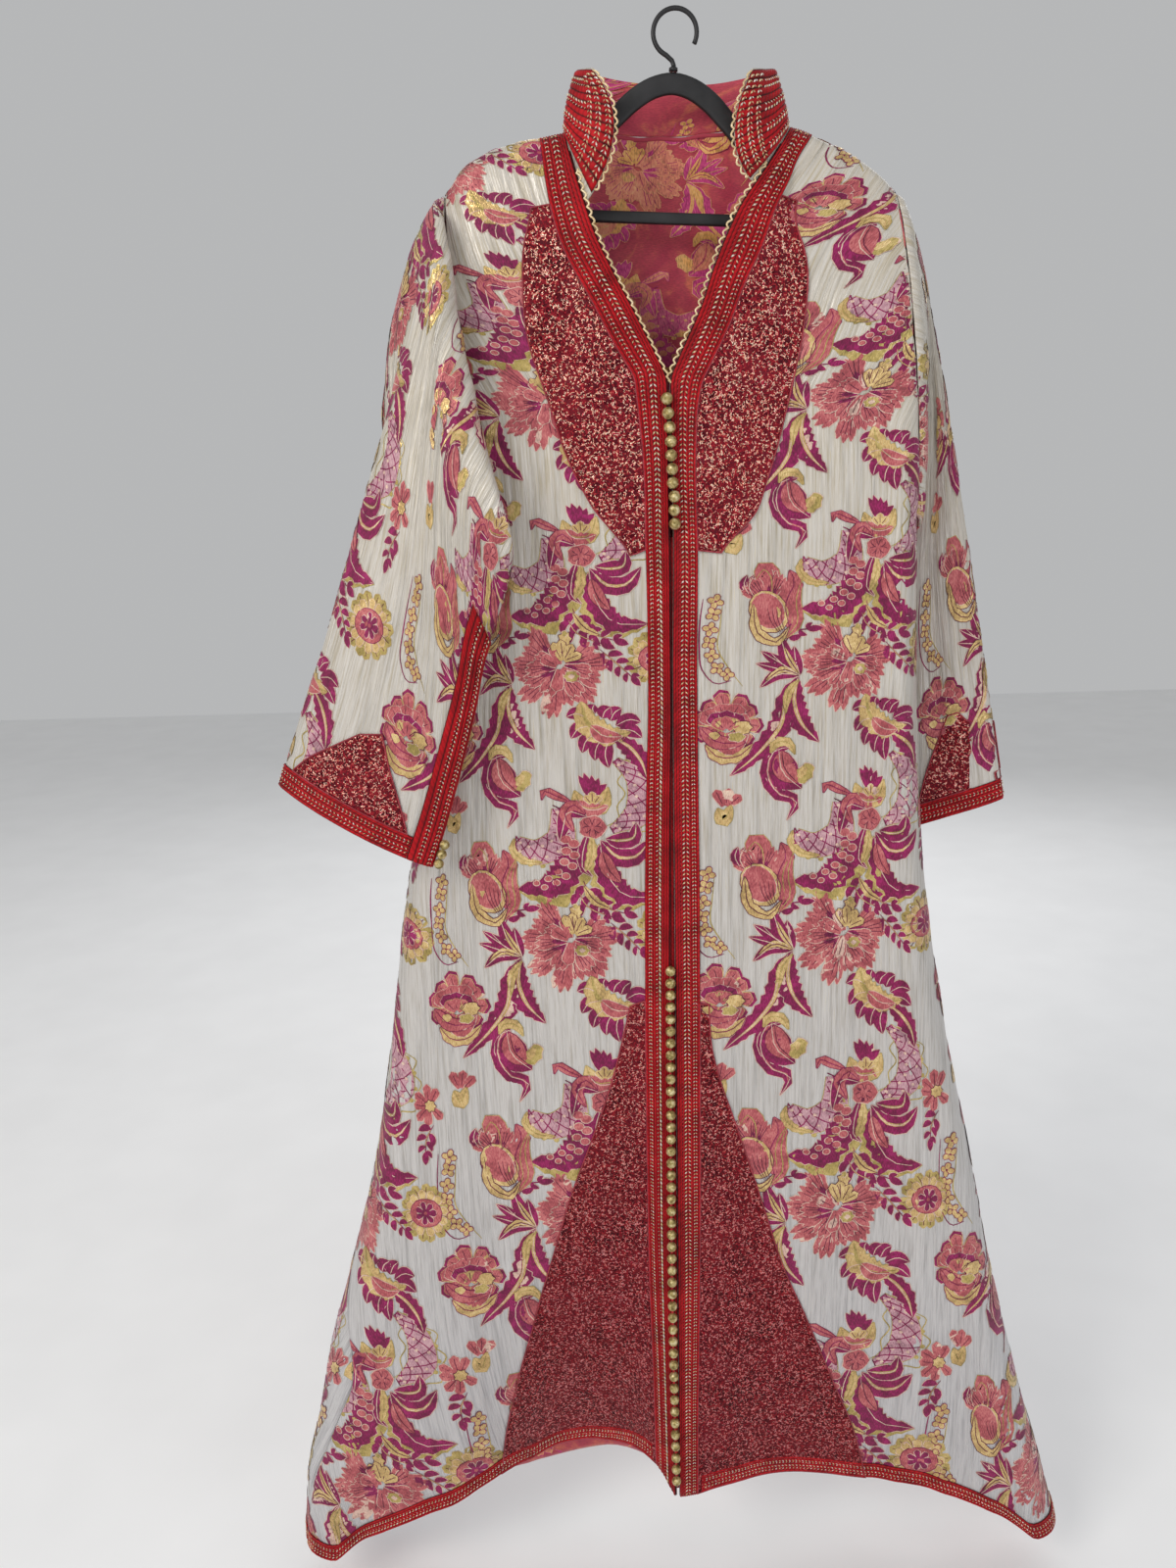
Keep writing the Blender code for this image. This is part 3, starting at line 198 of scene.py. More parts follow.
FLOOR_HALF = 6000
floor = grid_mesh("floor", [(FLOOR_HALF * x, FLOOR_HALF * y, FLOOR_Z * 1000)
                            for x, y in ((-1, -1), (1, -1), (1, 1), (-1, 1))], [(0, 1, 2, 3)])
plain, _, add, feed = new_material("pale_floor", (0.86, 0.86, 0.86), 0.8)
speck = noise(add, add("ShaderNodeTexCoord").outputs["Object"], 6.0)
feed("Base Color", ramp(add, speck, ((0.3, grey(0.85)), (0.7, grey(0.88)))))
floor.data.materials.append(plain)


# ---- Hanger: moulded black plastic, one loop of sloping arms and trouser bar round a flat arch, with a
# bent metal hook coated black let into its top; the robe's shoulders lie over the arms
HANGER_ARM = (
    (0, -60, 19), (18, -64, 19), (36, -75, 19), (52, -90, 18),
    (70, -107, 17), (95, -119.5, 15), (125, -127, 14), (155, -134, 13),
    (178, -139, 12), (191, -149, 11), (196, -160, 10), (191, -171, 10),
    (178, -175, 11), (120, -175, 11), (60, -175, 11), (0, -175, 11),
)
HANGER_DEPTH = 8.0
HANGER_TILT = math.radians(3.2)
HOOK_WIRE = 4.4
HOOK_RADIUS = 20.0
BAR_SQUARE = 0.55
BAR_HALF = 0.485
tilt = np.array([[math.cos(HANGER_TILT), 0, math.sin(HANGER_TILT)], [0, 1, 0],
                 [-math.sin(HANGER_TILT), 0, math.cos(HANGER_TILT)]])


def cubic(keys, values, at):
    """Cubic through points at increasing keys; the slope at a point is that between its neighbours."""
    keys = np.asarray(keys, float)
    values = np.asarray(values, float)
    slope = np.gradient(values, keys, axis=0)
    at = np.clip(np.asarray(at, float), keys[0], keys[-1])
    k = np.clip(np.searchsorted(keys, at) - 1, 0, len(keys) - 2)
    step = keys[k + 1] - keys[k]
    t = (at - keys[k]) / step
    if values.ndim > 1:
        step = step[..., None]
        t = t[..., None]
    a = values[k] * (1 + 2 * t) * (1 - t) ** 2 + slope[k] * step * t * (1 - t) ** 2
    return a + values[k + 1] * t * t * (3 - 2 * t) - slope[k + 1] * step * t * t * (1 - t)


def quads(rows, cols, closed_rows=False, closed_cols=False):
    """Quads of a grid of points, rows by cols, closed round either way."""
    r = np.arange(rows if closed_rows else rows - 1)[:, None]
    c = np.arange(cols if closed_cols else cols - 1)[None, :]
    r2 = (r + 1) % rows
    c2 = (c + 1) % cols
    return np.stack([r * cols + c, r * cols + c2, r2 * cols + c2, r2 * cols + c], -1).reshape(-1, 4)


def running(points):
    """Length along a path up to each of its points."""
    return np.concatenate([[0.0], np.cumsum(np.linalg.norm(np.diff(points, axis=0), axis=1))])


table = np.array(HANGER_ARM, float)
around = np.concatenate([table, table[-2:0:-1] * np.array([-1.0, 1.0, 1.0])])
around = np.concatenate([around[-3:], around, around[:4]])
keys = running(around[:, :2])
loop = cubic(keys, around, np.linspace(keys[3], keys[-4], 181)[:-1])
way = unit(np.roll(loop[:, :2], -1, axis=0) - np.roll(loop[:, :2], 1, axis=0))
turn = np.linspace(0, 2 * math.pi, 17)[:-1]
up = np.sign(np.cos(turn)) * np.abs(np.cos(turn)) ** BAR_SQUARE * BAR_HALF
deep = np.sign(np.sin(turn)) * np.abs(np.sin(turn)) ** BAR_SQUARE * BAR_HALF
across = np.stack([-way[:, 1], way[:, 0]], axis=-1)
flat = loop[:, None, :2] + across[:, None] * (loop[:, 2:3] * up[None, :])[..., None]
body = np.stack([flat[..., 0], np.broadcast_to(HANGER_DEPTH * deep, flat.shape[:2]), flat[..., 1]], -1) @ tilt.T
hanger = grid_mesh("hanger_loop", body.reshape(-1, 3), quads(180, 16, True, True))


def tube(path, radius, sides):
    """Points and quads of a round tube along a path; each end is drawn in to a small tip."""
    path = np.asarray(path, float)
    radius = np.broadcast_to(np.asarray(radius, float), (len(path),))
    path = np.concatenate([path[:1], path, path[-1:]])
    radius = np.concatenate([radius[:1] * 0.05, radius, radius[-1:] * 0.05])
    along = unit(np.gradient(path, axis=0))
    side_way = unit(np.cross(along, (0.0, 1.0, 0.0)))
    up_way = np.cross(side_way, along)
    angle = 2 * math.pi * np.arange(sides) / sides
    rings = path[:, None] + radius[:, None, None] * (np.cos(angle)[None, :, None] * side_way[:, None]
                                                     + np.sin(angle)[None, :, None] * up_way[:, None])
    return rings.reshape(-1, 3), quads(len(path), sides, False, True)


angle = np.radians(np.linspace(-68.0, 205.0, 70))
arc = np.stack([-HOOK_RADIUS * np.cos(angle), 0 * angle, HOOK_RADIUS * np.sin(angle)], axis=-1)
arc = arc + np.array([0.0, 0.0, HOOK_WIRE / 2 - HOOK_RADIUS])
stem = np.array([[0.0, 0.0, -49.8], [0.0, 0.0, -47.0], [0.0, 0.0, -46.2], [0.0, 0.0, -44.5], [-1.5, 0.0, -41.0]])
thick = np.concatenate([[4.1, 4.1, 2.6, 2.2, 2.2], np.full(len(arc), HOOK_WIRE / 2)])
points, faces = tube(np.concatenate([stem, arc]), thick, 16)
hook = grid_mesh("hanger_wire_hook", points @ tilt.T, faces)


def face_out(piece):
    """Turn a closed piece's faces outward."""
    work = bmesh.new()
    work.from_mesh(piece.data)
    bmesh.ops.remove_doubles(work, verts=work.verts, dist=1e-6)
    bmesh.ops.recalc_face_normals(work, faces=work.faces)
    if work.calc_volume(signed=True) < 0:
        bmesh.ops.reverse_faces(work, faces=work.faces)
    work.to_mesh(piece.data)
    work.free()


black, shader, add, feed = new_material("hanger_black", (0.012, 0.012, 0.013), 0.5)
spot = add("ShaderNodeTexCoord").outputs["Object"]
scuff = noise(add, spot, 55.0, 4.0)
feed("Base Color", ramp(add, scuff, ((0.35, (0.008, 0.008, 0.009)), (0.75, (0.02, 0.02, 0.022)))))
feed("Roughness", ramp(add, scuff, ((0.3, grey(0.42)), (0.7, grey(0.62)))))
feed("Normal", relief(add, noise(add, spot, 2200.0), 0.25, 0.0003))
for piece, node in ((hanger, "hanger_arms"), (hook, "hanger_hook")):
    face_out(piece)
    piece.data.materials.append(black)
    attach(piece, "root")
    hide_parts(node)


# ---- Back: one wide panel of crinkled silver brocade, cut with a flared A-line and seamed to the fronts;
# the left side seam swings round to the front lower down, so part of the back shows there
CLOTH_THICK = 1.6
HANG = np.array([-15.0, 0.0, 0.0])
SHOULDER_GAP = 0.6
SHOULDER_ROUND = 9.0
DRAPE_LENGTH = 90.0
NECK_CENTRE = 15.0
NECK_HALF_WIDTH = 104.5
NECK_LIFT = 150.0
NECK_LEFT, NECK_RIGHT = -89.5, 119.5
HEM_LEFT_X, HEM_RIGHT_X = -464.0, 479.0
FRONT_TOP, FRONT_BOTTOM = -100.0, -1607.0
FLARE_TOP, FLARE_TALL, FLARE_POWER = -1080.0, 520.0, 1.7
SEAM_CLEAR = 0.3
ARC_COLUMNS = 12
BACK_COLUMNS = 66
# Height, side line left and right, depth of front and back, side roundings, angle of the left seam
SECTION_COLUMNS = ("z", "left", "right", "front", "back", "round_left", "round_right", "seam_deg")
SECTIONS = (
    (-150, -203, 221, 38, 38, 24, 24, 0),
    (-300, -199, 239, 42, 42, 26, 26, 0),
    (-455, -187, 251, 45, 44, 28, 28, 0),
    (-650, -238, 260, 46, 45, 30, 30, 0),
    (-833, -281, 276, 47, 46, 32, 32, 0),
    (-1011, -311, 307, 48, 47, 34, 34, 0),
    (-1184, -344, 346, 50, 49, 38, 38, 0),
    (-1300, -377, 371, 51, 51, 50, 40, 12),
    (-1434, -417, 405, 52, 53, 60, 42, 68),
    (-1500, -431, 423, 52, 54, 58, 42, 56),
    (-1600, -455, 453, 52, 55, 50, 40, 40),
    (-1692, -464, 479, 50, 55, 44, 38, 28),
)
# Place across and height of the shoulder line
SHOULDERS = (
    (-203, -150), (-190, -133), (-160, -114), (-113, -104), (-89.5, -100),
    (15, -99), (119.5, -100), (140, -107), (165, -118), (192, -133),
    (208, -145), (221, -159),
)
# Height and place across of the middle line
CENTRE_LINE = (
    (-322, 2.5), (-390, 4), (-456, 5), (-600, 3), (-750, 0), (-880, -1.5),
    (-1090, -3), (-1300, -3.5), (-1505, -1.5), (-1607, 0),
)
# Place across, depth and height of the back hem
HEM_BACK = (
    (-464, 14, -1692), (-400, 48, -1682), (-330, 58, -1668), (-250, 48, -1655),
    (-160, 56, -1644), (-80, 60, -1641), (-10, 50, -1656), (70, 44, -1660),
    (150, 56, -1658), (230, 62, -1660), (310, 50, -1664), (390, 52, -1674),
    (479, 14, -1688),
)
# Long soft folds: place from the middle (0) to the side (1), width, depth, top height
FOLDS_BACK = ((-0.74, 0.09, 6.0, -800.0), (-0.42, 0.10, -6.0, -420.0), (-0.12, 0.09, 5.0, -520.0),
              (0.20, 0.10, -5, -420), (0.50, 0.09, 6, -620), (0.78, 0.08, -6, -880))
# Armholes: shoulder, front, underarm and back points of the left and the right one
ARMHOLE_LEFT = (-203.0, 0.0, -151.0, -200.0, -32.0, -300.0, -187.0, 0.0, -455.0, -202.0, 32.0, -300.0)
ARMHOLE_RIGHT = (221.0, 0.0, -160.0, 239.0, -29.0, -305.0, 251.0, 0.0, -455.0, 239.0, 29.0, -305.0)
ROW_KNOTS = (0.0, 0.005, 0.014, 0.029, 0.047, 0.068, 0.091, 0.115, 0.14, 0.168, 0.2, 0.235, 0.275, 0.32,
             0.37, 0.42, 0.47, 0.52, 0.57, 0.61, 0.65, 0.69, 0.73, 0.77, 0.81, 0.85, 0.89, 0.925, 0.956,
             0.983, 1)
ROW_STEPS = 6
ROW_SHARES = np.interp(np.arange(30 * ROW_STEPS + 1) / ROW_STEPS, np.arange(31), ROW_KNOTS)


def follow(table, at, k=1):
    """Cubic through a column of a table over its first column, whichever way that one runs."""
    table = np.array(table, float)
    if table[0, 0] > table[-1, 0]:
        table = table[::-1]
    return cubic(table[:, 0], table[:, k], at)


def section(name, z):
    """A size of the body at height z."""
    return follow(SECTIONS, z, SECTION_COLUMNS.index(name))


def ring(row, angle):
    """Closed ring through its four points: mean, first cosine and sine, second cosine."""
    o, f, i, b = (np.array(row[k:k + 3], float) for k in (0, 3, 6, 9))
    angle = np.asarray(angle, float)[..., None]
    return ((o + f + i + b) / 4 + (o - i) / 2 * np.cos(angle) + (f - b) / 2 * np.sin(angle)
            + (o - f + i - b) / 4 * np.cos(2 * angle))


def armhole(side, front):
    """Dense points of an armhole's front or back half from the shoulder to the underarm."""
    row = ARMHOLE_LEFT if side < 0 else ARMHOLE_RIGHT
    angle = np.linspace(0, math.pi, 60)
    return ring(row, angle if front else -angle)


def side_x(side, z, front=True):
    """Side line of the body: the armhole above the underarm, the side fold below it."""
    hole = armhole(side, front)
    under = hole[-1, 2]
    x_hole = np.interp(-np.asarray(z, float), -hole[:, 2], hole[:, 0])
    x_side = section("left" if side < 0 else "right", z)
    join = section("left" if side < 0 else "right", under)
    return np.where(np.asarray(z) > under, x_hole, x_side + (hole[-1, 0] - join) * np.exp((z - under) / 60.0))


def shoulder_z(x):
    """Height of the shoulder line over a place across."""
    return follow(SHOULDERS, x)


def centre_x(z):
    """Middle line of the front, which wanders a little."""
    return follow(CENTRE_LINE, z)


def quarter(s):
    """Quarter circle from 0 to 1."""
    return np.sqrt(np.clip(1 - (1 - np.clip(s, 0, 1)) ** 2, 0, 1))


def hang(x, z, deep):
    """Depth under the shoulder line: a short rounding, then slowly to the full depth; deeper at the neck."""
    across = (np.asarray(x, float) - NECK_CENTRE) / NECK_HALF_WIDTH
    fall = np.clip(shoulder_z(x) - z, 0, None) + NECK_LIFT * np.clip(1 - across ** 2, 0, 1)
    rounding = SHOULDER_ROUND * quarter(fall / SHOULDER_ROUND)
    return rounding + (deep - SHOULDER_ROUND) * (1 - np.exp(-fall / DRAPE_LENGTH))


def hem_row(table, x):
    """Depth and height of a hem at a place across."""
    return follow(table, x, 1), follow(table, x, 2)


def long_folds(folds, place, z):
    """Sum of soft bell-shaped folds that deepen downwards."""
    total = 0.0
    for at, wide, deep, from_z in folds:
        grow = np.clip((from_z - z) / 900.0, 0, 1)
        grow = grow * grow * (3 - 2 * grow)
        total = total + deep * np.exp(-((place - at) / wide) ** 2) * grow
    return total


def soft_step(t):
    """Smooth step from 0 to 1."""
    t = np.clip(t, 0, 1)
    return t * t * (3 - 2 * t)


def spread(t, arc, share, other=0):
    """Share across each row: from the seam at the shoulder, from the end of the side rounding lower down."""
    low = soft_step((share - 0.14) / 0.14)
    far = t[-1 - other]
    inner = np.clip((t - t[arc]) / (far - t[arc]), 0, 1)
    return t * (1 - low) + inner * low


def pull_in(grid, place, side, rows):
    """Draw the armhole edge in a little, so that the sleeve's ring clears it."""
    grid[rows, place, 0] -= side * 1.0
    return grid


def back_y(x, z):
    """Depth of the back at a point across and up, away from its side folds."""
    x = np.asarray(x, float)
    z = np.asarray(z, float)
    side = np.where(x < centre_x(z), -1, 1)
    fold = np.where(side < 0, side_x(-1, z, False), side_x(1, z, False))
    deep = hang(x, z, section("back", z))
    rounding = np.where(side < 0, section("round_left", z), section("round_right", z))
    inward = np.abs(fold - x) / rounding
    lift = 0.0
    for s in (-1, 1):
        hole = armhole(s, False)
        edge = np.interp(-z, -hole[:, 2], hole[:, 1], right=0.0) / np.maximum(deep, 1.0)
        lift = lift + np.where((side == s) & (z > hole[-1, 2]), np.clip(edge, 0, 1), 0.0)
    y = deep * (lift + (1 - lift) * quarter(inward))
    place = (x - centre_x(z)) / np.abs(fold - centre_x(z))
    low = np.clip((FLARE_TOP - z) / FLARE_TALL, 0, 1.1) ** FLARE_POWER
    hem_x = centre_x(FRONT_BOTTOM) + place * np.where(place < 0, -HEM_LEFT_X, HEM_RIGHT_X)
    hem_y, hem_z = hem_row(HEM_BACK, hem_x)
    soft = soft_step((inward - 1.0) / 0.9)
    y = y + low * (hem_y - section("back", hem_z)) * soft
    return y + long_folds(FOLDS_BACK, place, z) * soft


def back_grid():
    """Points of the back from the left side seam round to the right one."""
    arc, flat = ARC_COLUMNS, BACK_COLUMNS
    rows = []
    left_hem = HEM_BACK[0][2]
    right_hem = HEM_BACK[-1][2]
    for d in ROW_SHARES:
        zl = SHOULDERS[0][1] + (left_hem - SHOULDERS[0][1]) * d
        zr = SHOULDERS[-1][1] + (right_hem - SHOULDERS[-1][1]) * d
        xl = float(side_x(-1, zl, False))
        xr = float(side_x(1, zr, False))
        rl = float(section("round_left", zl))
        rr = float(section("round_right", zr))
        below_l = zl <= armhole(-1, False)[-1, 2]
        below_r = zr <= armhole(1, False)[-1, 2]
        seam = -math.radians(float(section("seam_deg", zl))) + SEAM_CLEAR / float(section("back", zl))
        seam = seam if below_l else 0.0
        turn_l = seam + (math.pi / 2 - seam) * np.arange(arc + 1) / arc
        seam_r = SEAM_CLEAR / float(section("back", zr)) if below_r else 0.0
        turn_r = seam_r + (math.pi / 2 - seam_r) * np.arange(arc, -1, -1) / arc
        x_l = xl + rl * (1 - np.cos(turn_l))
        x_r = xr - rr * (1 - np.cos(turn_r))
        x_m = x_l[-1] + (x_r[0] - x_l[-1]) * np.arange(1, flat) / flat
        x = np.concatenate([x_l, x_m, x_r])
        t = spread((x - xl) / (xr - xl), arc, d, arc)
        top = shoulder_z(SHOULDERS[0][0] + (SHOULDERS[-1][0] - SHOULDERS[0][0]) * t)
        bottom = hem_row(HEM_BACK, HEM_BACK[0][0] + (HEM_BACK[-1][0] - HEM_BACK[0][0]) * t)[1]
        z = top + (bottom - top) * d
        y = back_y(x, z)
        wrap = np.concatenate([turn_l < 0, np.zeros(len(x) - len(turn_l), bool)])
        y_wrap = section("front", z) * np.sin(np.concatenate([turn_l, np.zeros(len(x) - len(turn_l))]))
        y = np.where(wrap, y_wrap, y)
        rows.append(np.stack([x, y, z], axis=-1))
    grid = np.array(rows)
    across = (grid[0, :, 0] - NECK_CENTRE) / NECK_HALF_WIDTH
    grid[0, :, 1] = np.where(np.abs(across) >= 1, SHOULDER_GAP, np.maximum(grid[0, :, 1], SHOULDER_GAP))
    grid = pull_in(grid, 0, -1, grid[:, 0, 2] > armhole(-1, False)[-1, 2])
    return pull_in(grid, -1, 1, grid[:, -1, 2] > armhole(1, False)[-1, 2])


def grid_normals(grid):
    """Unit normals of a grid of points: cross product of its column and row differences."""
    return unit(np.cross(np.gradient(grid, axis=1), np.gradient(grid, axis=0)))


def sample(grid, row, col):
    """Values of a grid at scattered fractional rows and columns, straight between its own points."""
    r = np.clip(np.floor(row).astype(int), 0, grid.shape[0] - 2)
    c = np.clip(np.floor(col).astype(int), 0, grid.shape[1] - 2)
    a = row - r
    b = col - c
    if grid.ndim == 3:
        a = a[..., None]
        b = b[..., None]
    return ((grid[r, c] * (1 - b) + grid[r, c + 1] * b) * (1 - a)
            + (grid[r + 1, c] * (1 - b) + grid[r + 1, c + 1] * b) * a)


def across_length(grid):
    """Length along each row of a grid from its first column."""
    step = np.linalg.norm(np.diff(grid, axis=1), axis=-1)
    return np.concatenate([np.zeros((len(grid), 1)), np.cumsum(step, axis=1)], axis=1)


def creases(u, v, table, phase):
    """Soft troughs and ridges listed in a table (bell across, fading at both ends, swaying a little) over
    pressed upright ripples of three widths whose strength wanders."""
    total = 0.0
    for at, top, low, wide, deep, lean in table:
        sway = at + lean * (v - top) / 1000.0 + 3.0 * np.sin(v / 61.0 + at)
        fade = soft_step((v - top) / 60.0) * soft_step((low - v) / 90.0)
        total = total + deep * np.exp(-((u - sway) / wide) ** 2) * fade
    for wave, high, slow in ((19.0, 0.22, 83.0), (31.0, 0.34, 127.0), (53.0, 0.42, 211.0)):
        drift = 1.4 * np.sin(v / slow + phase) + 0.8 * np.sin(v / (slow * 0.37) + 2.0 * phase)
        strong = 0.55 + 0.45 * np.sin(u / (2.3 * wave) + v / (1.7 * slow) + phase * wave)
        total = total + high * strong * np.sin(2 * math.pi * u / wave + drift + phase * slow)
    return total


def shell(name, outer, inner, uv=None):
    """Closed thin body between an outer and an inner grid with rims all round; returns it and how many
    of its faces are outer and inner ones."""
    rows, cols = outer.shape[:2]
    half = rows * cols
    out_faces = quads(rows, cols)
    a = np.arange(rows - 1) * cols
    b = a + cols - 1
    c = np.arange(cols - 1)
    low = (rows - 1) * cols
    rims = [np.stack([c + 1, c, c + half, c + 1 + half], -1),
            np.stack([low + c, low + c + 1, low + c + 1 + half, low + c + half], -1),
            np.stack([a, a + cols, a + cols + half, a + half], -1),
            np.stack([b + cols, b, b + half, b + cols + half], -1)]
    points = np.concatenate([outer.reshape(-1, 3), inner.reshape(-1, 3)]) + HANG
    if uv is not None:
        uv = np.concatenate([uv.reshape(-1, 2), uv.reshape(-1, 2)])
    piece = grid_mesh(name, points, np.concatenate([out_faces, out_faces[:, ::-1] + half] + rims), uv)
    return piece, len(out_faces)


class Wall:
    """One cloth panel: its creased mid surface, normals and cloth coordinates u (across) and v (down)."""

    def __init__(self, grid, u, v, table, phase):
        normal = grid_normals(grid)
        self.flat = grid
        self.u = u
        self.v = v
        self.grid = grid + normal * creases(u, v, table, phase)[..., None]
        self.normal = grid_normals(self.grid)

    def locate(self, u, v, cols=None):
        """Fractional rows and columns of cloth coordinates: alternate straight corrections of row and
        column, held inside the panel."""
        row = np.full(u.shape, self.grid.shape[0] / 2.0)
        col = np.full(u.shape, self.grid.shape[1] / 2.0)
        first, last = cols or (0.0, self.grid.shape[1] - 1.0)
        v_row = np.gradient(self.v, axis=0)
        u_col = np.gradient(self.u, axis=1)
        for _ in range(22):
            step = (v - sample(self.v, row, col)) / sample(v_row, row, col)
            row = np.clip(row + np.clip(step, -30, 30), 0, self.grid.shape[0] - 1.0)
            step = (u - sample(self.u, row, col)) / sample(u_col, row, col)
            col = np.clip(col + np.clip(step, -20, 20), first, last)
        return row, col

    def place(self, row, col, out):
        """Points a distance outside the mid surface at fractional rows and columns."""
        out = np.broadcast_to(np.asarray(out, float), np.shape(row))[..., None]
        return sample(self.grid, row, col) + sample(self.normal, row, col) * out


def panel_piece(name, wall, closed=False):
    """The shell of a whole cloth panel, face side out and reverse in, with its cloth coordinates in
    metres as UV map."""
    half = wall.normal * CLOTH_THICK / 2
    uv = np.stack([wall.u, -wall.v], -1) * 0.001
    piece, count = shell(name, wall.grid + half, wall.grid - half, uv)
    if closed:
        work = bmesh.new()
        work.from_mesh(piece.data)
        bmesh.ops.remove_doubles(work, verts=work.verts, dist=1e-6)
        work.to_mesh(piece.data)
        work.free()
    piece.data.materials.append(brocade)
    piece.data.materials.append(reverse)
    index = np.zeros(len(piece.data.polygons), np.int32)
    index[count:2 * count] = 1
    piece.data.polygons.foreach_set("material_index", index)
    return piece


# Ground of the brocade: silver-white warp with gold lurex, crinkled upright; higher up it turns warmer gold, partly
# the lurex and partly painted sheen of the light from above, and it is greyer towards the hem; the crinkle's furrows
# are darkened with painted shade
brocade, shader, add, feed = new_material("brocade_face", (0.78, 0.74, 0.7), 0.42, 0.12)
shader.inputs["Sheen Weight"].default_value = 0.1
cloth_uv = add("ShaderNodeUVMap", uv_map="UVMap").outputs["UV"]
here = add("ShaderNodeTexCoord").outputs["Object"]
high = add("ShaderNodeSeparateXYZ", {"Vector": here}).outputs["Z"]
fine = add("ShaderNodeMapping", {"Vector": cloth_uv}, Scale=(430.0, 16.0, 1.0)).outputs["Vector"]
streak = noise(add, fine, 1.0, 3.0, Roughness=0.6)
broad = add("ShaderNodeMapping", {"Vector": cloth_uv}, Scale=(120.0, 5.0, 1.0)).outputs["Vector"]
crinkle = noise(add, broad, 1.0, 5.0, Roughness=0.62, Distortion=0.5)
# Painted sheen: the upper colour, with its warmer gold, is mixed in by height higher up and stands in for the light
# from above on the gold lurex
grow = add("ShaderNodeMapRange", {"Value": high}, **{"From Min": -1.45, "From Max": -0.35}).outputs["Result"]
upper = ramp(add, streak, ((0.3, (0.47, 0.4, 0.27)), (0.48, (0.6, 0.55, 0.47)), (0.62, (0.7, 0.66, 0.6)),
                           (0.75, (0.62, 0.5, 0.27))))
lower = ramp(add, streak, ((0.3, (0.38, 0.365, 0.375)), (0.5, (0.56, 0.545, 0.55)), (0.72, (0.68, 0.66, 0.65))))
# Painted shade: the colour is darkened in the crinkle's furrows, the same crinkle that gives the bump
painted_crinkle_shade = ramp(add, crinkle, ((0.3, grey(0.5)), (0.46, grey(0.88)), (0.7, grey(1.0))))
feed("Base Color", blend(add, 0.55, blend(add, grow, lower, upper), painted_crinkle_shade, "MULTIPLY"))
feed("Metallic", ramp(add, streak, ((0.5, grey(0.05)), (0.66, grey(0.5)))))
feed("Roughness", ramp(add, noise(add, cloth_uv, 7.0), ((0.35, grey(0.34)), (0.65, grey(0.5)))))
bump = add("ShaderNodeBump", {"Height": streak, "Normal": relief(add, crinkle, 1.0, 0.0034)}, Strength=0.3,
           Distance=0.0005)
feed("Normal", bump.outputs["Normal"])

# Reverse of the brocade: the weft floats show as a warm magenta-red ground with orange
reverse, shader, add, feed = new_material("brocade_reverse", (0.42, 0.05, 0.1), 0.6)
shader.inputs["Sheen Weight"].default_value = 0.3
cloth_uv = add("ShaderNodeUVMap", uv_map="UVMap").outputs["UV"]
fine = add("ShaderNodeMapping", {"Vector": cloth_uv}, Scale=(300.0, 900.0, 1.0)).outputs["Vector"]
thread = noise(add, fine, 1.0)
patch = noise(add, cloth_uv, 26.0, 3.0, Distortion=1.2)
ground = ramp(add, patch, ((0.38, (0.5, 0.03, 0.075)), (0.56, (0.6, 0.06, 0.09)), (0.66, (0.74, 0.16, 0.1))))
feed("Base Color", blend(add, 0.6, ground, ramp(add, thread, ((0.35, grey(0.55)), (0.65, grey(1.0)))), "MULTIPLY"))
feed("Normal", relief(add, thread, 0.35, 0.0005))

# Creases: place across, top and bottom, width, depth and lean
CREASES_BACK = (
    (-210, 330, 1500, 16, -2.2, 30), (-90, 180, 900, 13, 1.8, -12),
    (-20, 150, 1560, 15, -2.4, 6), (95, 260, 1300, 14, 2, 18),
    (190, 420, 1560, 18, -2.6, 40), (300, 700, 1600, 14, 2, 70),
    (-330, 820, 1600, 15, 2, -80),
)
back_points = back_grid()
back_u = across_length(back_points)
back_u = back_u[:, [45]] - back_u
back_wall = Wall(back_points, back_u, -back_points[:, :, 2], CREASES_BACK, 0.7)
back_piece = panel_piece("back_panel", back_wall)
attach(back_piece, "root")
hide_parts("back")


# ---- Fronts: two panels of the same brocade that meet edge to edge down the middle under the braid;
# each is cut with a V neck, and the left one falls in a deep soft fold beside the middle at the hem
CENTRE_GAP = 0.8
OUTER_COLUMNS, PANEL_COLUMNS, BAND_COLUMNS = 30, 15, 6
# Height and place across of the neckline's edge
EDGE_LEFT = (
    (-100, -89.5), (-112, -86.5), (-138, -80), (-163, -73), (-194, -63),
    (-222, -50), (-260, -30), (-295, -12), (-322, 1.5),
)
EDGE_RIGHT = (
    (-100, 119.5), (-125, 104), (-150, 86), (-172, 70), (-193, 59),
    (-220, 47), (-262, 32), (-297, 15), (-322, 3.5),
)
# Place across, depth and height of the front hems
HEM_LEFT = (
    (-464, -14, -1692), (-440, -30, -1676), (-402, -40, -1655), (-355, -46, -1634),
    (-303, -48, -1619), (-261, -44, -1606), (-221, -22, -1599), (-190, 2, -1600),
    (-157, 22, -1590), (-125, 27, -1586), (-87, 20, -1581), (-51, -8, -1567),
    (-26, -38, -1566), (0, -52, -1607),
)
HEM_RIGHT = (
    (0, -52, -1607), (25, -50, -1605), (50, -45, -1602), (95, -35, -1602),
    (141, -24, -1604), (190, -18, -1608), (225, -20, -1610), (260, -27, -1612),
    (293, -37, -1614), (327, -44, -1617), (360, -47, -1624), (396, -46, -1636),
    (445, -36, -1662), (479, -14, -1688),
)
FOLDS_LEFT = ((0.30, 0.10, -4.0, -480.0), (0.52, 0.09, 5.0, -620.0), (0.76, 0.08, -5.0, -900.0))
FOLDS_RIGHT = ((0.24, 0.08, 4.0, -420.0), (0.46, 0.08, -5.0, -560.0), (0.66, 0.08, 5.0, -500.0),
               (0.86, 0.06, -5, -950))
